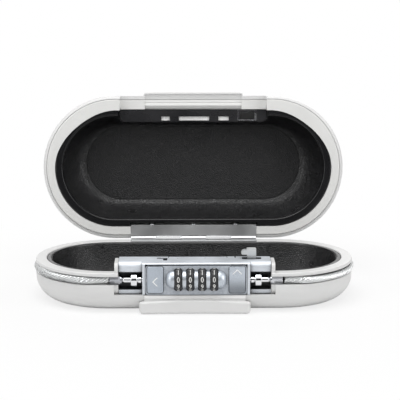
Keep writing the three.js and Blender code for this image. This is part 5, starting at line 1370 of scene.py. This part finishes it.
lid_height = parting
skin_inner = 54.3 * mm
lid_corner = end_radius - edge_round
lid_corner_z = lid_height - edge_round
notch_depth = lock_high.z - parting + 2 * seam
brow_half = 40 * mm
brow_height = 18.5 * mm
lid_wall = end_radius - skin_inner
lid_moulding = stadium("lid_moulding", [
    (2 * mm, lid_z(lid_height)),
    (lid_corner * 0.6, lid_z(lid_height)),
    *[(r, lid_z(z)) for r, z in quarter_round(lid_corner, lid_corner_z, edge_round, 90, 0)],
    (end_radius, lid_z(6 * mm)),
    (end_radius - 0.1 * mm, lid_z(4.6 * mm)),
    (end_radius - 0.45 * mm, lid_z(3.4 * mm)),
    (end_radius - 1.0 * mm, lid_z(2.5 * mm)),
    (end_radius - 1.7 * mm, lid_z(2.0 * mm)),
    (skin_inner + 0.3 * mm, lid_z(1.9 * mm)),
    (skin_inner, lid_z(2.1 * mm)),
    *[(r, lid_z(z)) for r, z in quarter_round(lid_corner, lid_corner_z, edge_round - lid_wall, 0, 90)],
    (2 * mm, lid_z(lid_height - lid_wall)),
])


def brow_loop(x):
    edge = max(0, abs(x) - (brow_half - 4.2 * mm)) / (4.2 * mm)
    tuck = 1.9 * mm * (1 - math.sqrt(max(0, 1 - edge * edge)))
    front = -(end_radius + 3 * mm) + tuck
    inner = -(end_radius - 1.3 * mm)
    top = notch_depth + brow_height
    points = [
        (inner, notch_depth),
        (front + 1.0 * mm, notch_depth), (front + 0.4 * mm, notch_depth + 0.15 * mm),
        (front + 0.1 * mm, notch_depth + 0.5 * mm), (front, notch_depth + 1.0 * mm),
        (front, top - 7.6 * mm), (front + 0.2 * mm, top - 5.6 * mm), (front + 0.8 * mm, top - 3.9 * mm),
        (front + 1.7 * mm, top - 2.5 * mm), (front + 2.8 * mm, top - 1.4 * mm), (front + 4.2 * mm, top - 0.5 * mm),
        (front + 5.8 * mm, top + 0.2 * mm), (front + 9.4 * mm - tuck, top + 1.0 * mm),
        (front + 10 * mm - tuck, top + 0.1 * mm),
        (inner + 0.9 * mm, top - 7.6 * mm),
    ]
    return [Vector((x, y, lid_z(z))) for y, z in points]


def hollow_cut(profile):
    points = [(profile[-1][0] * mm, lid_z(notch_depth - 1 * mm)), (profile[0][0] * mm, lid_z(notch_depth - 1 * mm))]
    points += [(y * mm, lid_z(notch_depth + deep * mm)) for y, deep in profile]
    return plate_along_x(points, -hollow_half, hollow_half)


brow = skin("brow", [brow_loop(brow_half * math.sin(math.radians(a))) for a in range(-90, 91, 6)])
hollow_half = brow_half - 1.1 * mm
carve(lid_moulding, bar(-notch_half, notch_half, -70 * mm, -44 * mm, lid_z(-5 * mm), lid_z(notch_depth)))
fuse(lid_moulding, brow)
carve(
    lid_moulding,
    rod(-hinge_half, hinge_half, lid_hinge_at.y, parting, 2.9 * mm, 32),
    hollow_cut([(-58.6, 0.5), (-58.2, 0.9), (-54.6, 1.7), (-53.3, 1.7)]),
)
soften(swing_open(lid_moulding), 0.35 * mm)
dress(lid_moulding, white_abs, "lid", "white_plastic", "lid_shell")

# Lid rim: an off-white ring set into the shell, a step inside its edge, with a pocket for the lock
lid_rim_outer = end_radius - 3 * mm
lid_rim_inner = lid_rim_outer - 6.5 * mm
lid_face = seam / 2
lid_ring = stadium("lid_ring", [(r, lid_z(z)) for r, z in [
    (lid_rim_inner, lid_face + 0.35 * mm),
    (lid_rim_inner, lid_face + 0.33 * mm),
    (lid_rim_inner, lid_face + 0.2 * mm),
    (lid_rim_inner + 0.06 * mm, lid_face + 0.06 * mm),
    (lid_rim_inner + 0.2 * mm, lid_face),
    *quarter_round(lid_rim_outer - 0.8 * mm, lid_face + 0.8 * mm, 0.8 * mm, 270, 360, 5),
    (lid_rim_outer, 12 * mm),
    (lid_rim_outer - 2 * mm, 12 * mm),
    (lid_rim_outer - 2 * mm, lid_face + 2.4 * mm),
    (lid_rim_inner + 1.4 * mm, lid_face + 2.4 * mm),
    (lid_rim_inner + 1.4 * mm, 4.5 * mm),
    (lid_rim_inner, 4.5 * mm),
]], runs_round=True)
cover = [(0, 0), (8, 0.3), (15, 0.85), (22, 1.6), (34, 2.8), (48, 3.8), (61, 3.8), (73, 3.1), (83, 2.5), (90, 2.2)]
loop_size = 2 * (36 + 1)
for v in lid_ring.data.vertices:
    if 1 <= v.index // loop_size <= 4 and v.co.y < 0:
        out_x = max(0, abs(v.co.x) - straight)
        angle = math.degrees(math.atan2(-v.co.y, out_x))
        for (a0, d0), (a1, d1) in zip(cover, cover[1:]):
            if a0 <= angle <= a1:
                reach = d0 + (d1 - d0) * (angle - a0) / (a1 - a0)
        shrink = 1 - reach * mm / math.hypot(out_x, v.co.y)
        v.co.x = math.copysign(abs(v.co.x) - out_x * (1 - shrink), v.co.x)
        v.co.y *= shrink
lid_notch = 58.6 * mm
roof_lip = 1.2 * mm
fuse(
    lid_ring,
    bar(-lid_notch - 1.7 * mm, lid_notch + 1.7 * mm, -lid_rim_outer, -lid_rim_inner,
        lid_z(lid_face), lid_z(notch_depth + 2 * mm)),
    bar(-lid_notch, lid_notch, -lid_rim_inner - 1 * mm, -lid_rim_inner + roof_lip,
        lid_z(notch_depth - 0.1 * mm), lid_z(notch_depth + 1.9 * mm)),
    bar(-hollow_half - 1 * mm, hollow_half + 1 * mm, -lid_rim_outer + 0.5 * mm, -lid_rim_inner + roof_lip,
        lid_z(notch_depth + 1.5 * mm), lid_z(notch_depth + 3.9 * mm)),
)
lid_hinge_low, lid_hinge_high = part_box("lid_hinge_leaf")
carve(
    lid_ring,
    bar(-lid_notch, lid_notch, -70 * mm, -lid_rim_inner + 4 * mm, lid_z(-1 * mm), lid_z(notch_depth)),
    hollow_cut([(-55, 1.2), (-53.3, 1.2), (-52.2, 0.95), (-51.3, 1.25), (-50, 0.8), (-49.3, 0.75), (-48.9, 0.95),
                (-46, 2.9)]),
    bar(-hinge_half, hinge_half, lid_rim_inner - 1 * mm, 60 * mm, lid_z(-1 * mm), lid_z(lid_face + 1.4 * mm)),
)
soften(swing_open(lid_ring), 0.2 * mm)
dress(lid_ring, rim_abs, "lid", "rim_plastic", "lid_rim")

# Lid liner: formed like the tray below, with a wide lip, sloped walls and a slack flat panel
channel_half = lid_notch + 0.2 * mm + 0.9 * mm
lid_lip_wide = 6.4 * mm
lid_tray = skin("lid_tray", [[Vector((p.x, p.y, lid_z(p.z))) for p in loop] for loop in liner_loops(
    lid_rim_inner - seam, 30 * mm, straight - 6 * mm, liner_depth, 3 * mm, liner_thick, -0.5 * mm, 64,
    lid_lip_wide)])
carve(
    lid_tray,
    bar(-channel_half - seam, channel_half + seam, -70 * mm, lock_high.y + 2.2 * mm, lid_z(-1 * mm),
        lid_z(17.6 * mm)),
    bar(hinge_low.x - 1 * mm, hinge_high.x + 1 * mm, lid_rim_inner - 3.4 * mm, 60 * mm, lid_z(-1 * mm),
        lid_z(8 * mm)),
)
soften(swing_open(lid_tray), 0, 40)
dress(lid_tray, slope_sheet, "lid", "liner", "lid_liner")
lid_shut = lid_turn.inverted()
paint_lip(lid_tray, lid_rim_inner - seam, 30 * mm, straight - 6 * mm, 3 * mm, lambda spot: lid_shut @ spot,
          lid_lip_wide)

# Lock channel, strike plate and the plated catch that the hook takes hold of
channel_plastic = moulded_plastic("channel_plastic", (0.022, 0.022, 0.024), 0.27, 0.9 * mm, 0.06 * mm, 0.5)
channel_tree = channel_plastic.node_tree
# Painted shade: the channel's sheen is taken away in its recesses and gaps by the shade mask
channel_shade_mask = channel_tree.nodes.new("ShaderNodeGroup")
channel_shade_mask.node_tree = painted_shade
channel_shade_mask.inputs["Reach"].default_value = 6 * mm
channel_shade_mask.inputs["Amount"].default_value = 1
channel_shine = channel_tree.nodes.new("ShaderNodeMapRange")
channel_shine.inputs["To Min"].default_value = 0.75
channel_shine.inputs["To Max"].default_value = 0
channel_tree.links.new(channel_shade_mask.outputs["Mask"], channel_shine.inputs["Value"])
channel_tree.links.new(channel_shine.outputs["Result"],
                       channel_tree.nodes["Principled BSDF"].inputs["Specular IOR Level"])
finish_node("lock_channel", channel_plastic, 0.25 * mm)
strike_steel = plated_metal("strike_steel", (0.96, 0.96, 0.95), 0.4, 0.4 * mm, 0.03 * mm, 0.1)
finish_node("strike_plate", strike_steel, 0.1 * mm)
# Painted shade: the catch is coloured near black, like the hole it frames
catch_painted_shade = plated_metal("catch_painted_shade", (0.045, 0.045, 0.05), 0.4, 0.7 * mm, 0.09 * mm, 0.6)
finish_node("strike_catch", catch_painted_shade, 0.25 * mm)
catch_spots = [lid_shut @ nodes["strike_catch"].matrix_world @ v.co for v in nodes["strike_catch"].data.vertices]
catch_left, catch_right = min(p.x for p in catch_spots), max(p.x for p in catch_spots)
catch_front, catch_back = min(p.y for p in catch_spots), max(p.y for p in catch_spots)
catch_face = min(p.z for p in catch_spots)
# Painted highlight: a thin bright steel strip along the catch's back and right edges, standing for a lit L-shaped
# edge
catch_highlight_strip = bar(catch_left + 0.5 * mm, catch_right - 0.1 * mm, catch_back - 1.0 * mm, catch_back - 0.15 * mm,
                catch_face - 0.2 * mm, catch_face + 0.3 * mm)
catch_highlight_strip.name = "catch_highlight_strip"
fuse(catch_highlight_strip, bar(catch_right - 0.95 * mm, catch_right - 0.1 * mm, catch_front + 3 * mm, catch_back - 0.5 * mm,
                    catch_face - 0.15 * mm, catch_face + 0.25 * mm))
soften(swing_open(catch_highlight_strip), 0.08 * mm)
dress(catch_highlight_strip, bright_steel, "lid", "chrome")

# Hinge. Two zinc-plated steel leaves with rolled knuckles on one pin, each held to its rim by
# pan-head screws from inside.
leaf_steel = plated_metal("leaf_steel", (0.58, 0.585, 0.59), 0.38, 0.5 * mm, 0.03 * mm, 0.75)
for name in ("base_hinge_leaf", "lid_hinge_leaf"):
    finish_node(name, leaf_steel, 0.12 * mm)
for i in (1, 2, 3):
    low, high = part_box("base_hinge_screw_%d" % i)
    screw = cross_screw("leaf_screw_%d" % i, "base_hinge_screw_%d" % i, "base", low.y, 1.85 * mm, 0.8 * mm,
                        0.85 * mm, high.y, 31 * i)
    dress(screw, bright_steel, "base", "steel", "base_hinge_screw_%d" % i)
    shut = [lid_shut @ Vector(corner) for corner in (
        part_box("lid_hinge_screw_%d" % i)[0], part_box("lid_hinge_screw_%d" % i)[1])]
    x = (low.x + high.x) / 2
    seat = lid_rim_inner - 0.3 * mm - 1.1 * mm
    height = lid_z(lid_face + 3.1 * mm)
    place = (Vector((x, 0, height)), Vector((x, 0, height)))
    screw = cross_screw("lid_leaf_screw_%d" % i, "lid_hinge_screw_%d" % i, "lid", seat - 0.8 * mm, 1.65 * mm,
                        0.8 * mm, 0.75 * mm, seat + 4.4 * mm, 12 + 40 * i, place)
    dress(swing_open(screw), bright_steel, "lid", "steel", "lid_hinge_screw_%d" % i)

low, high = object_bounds()
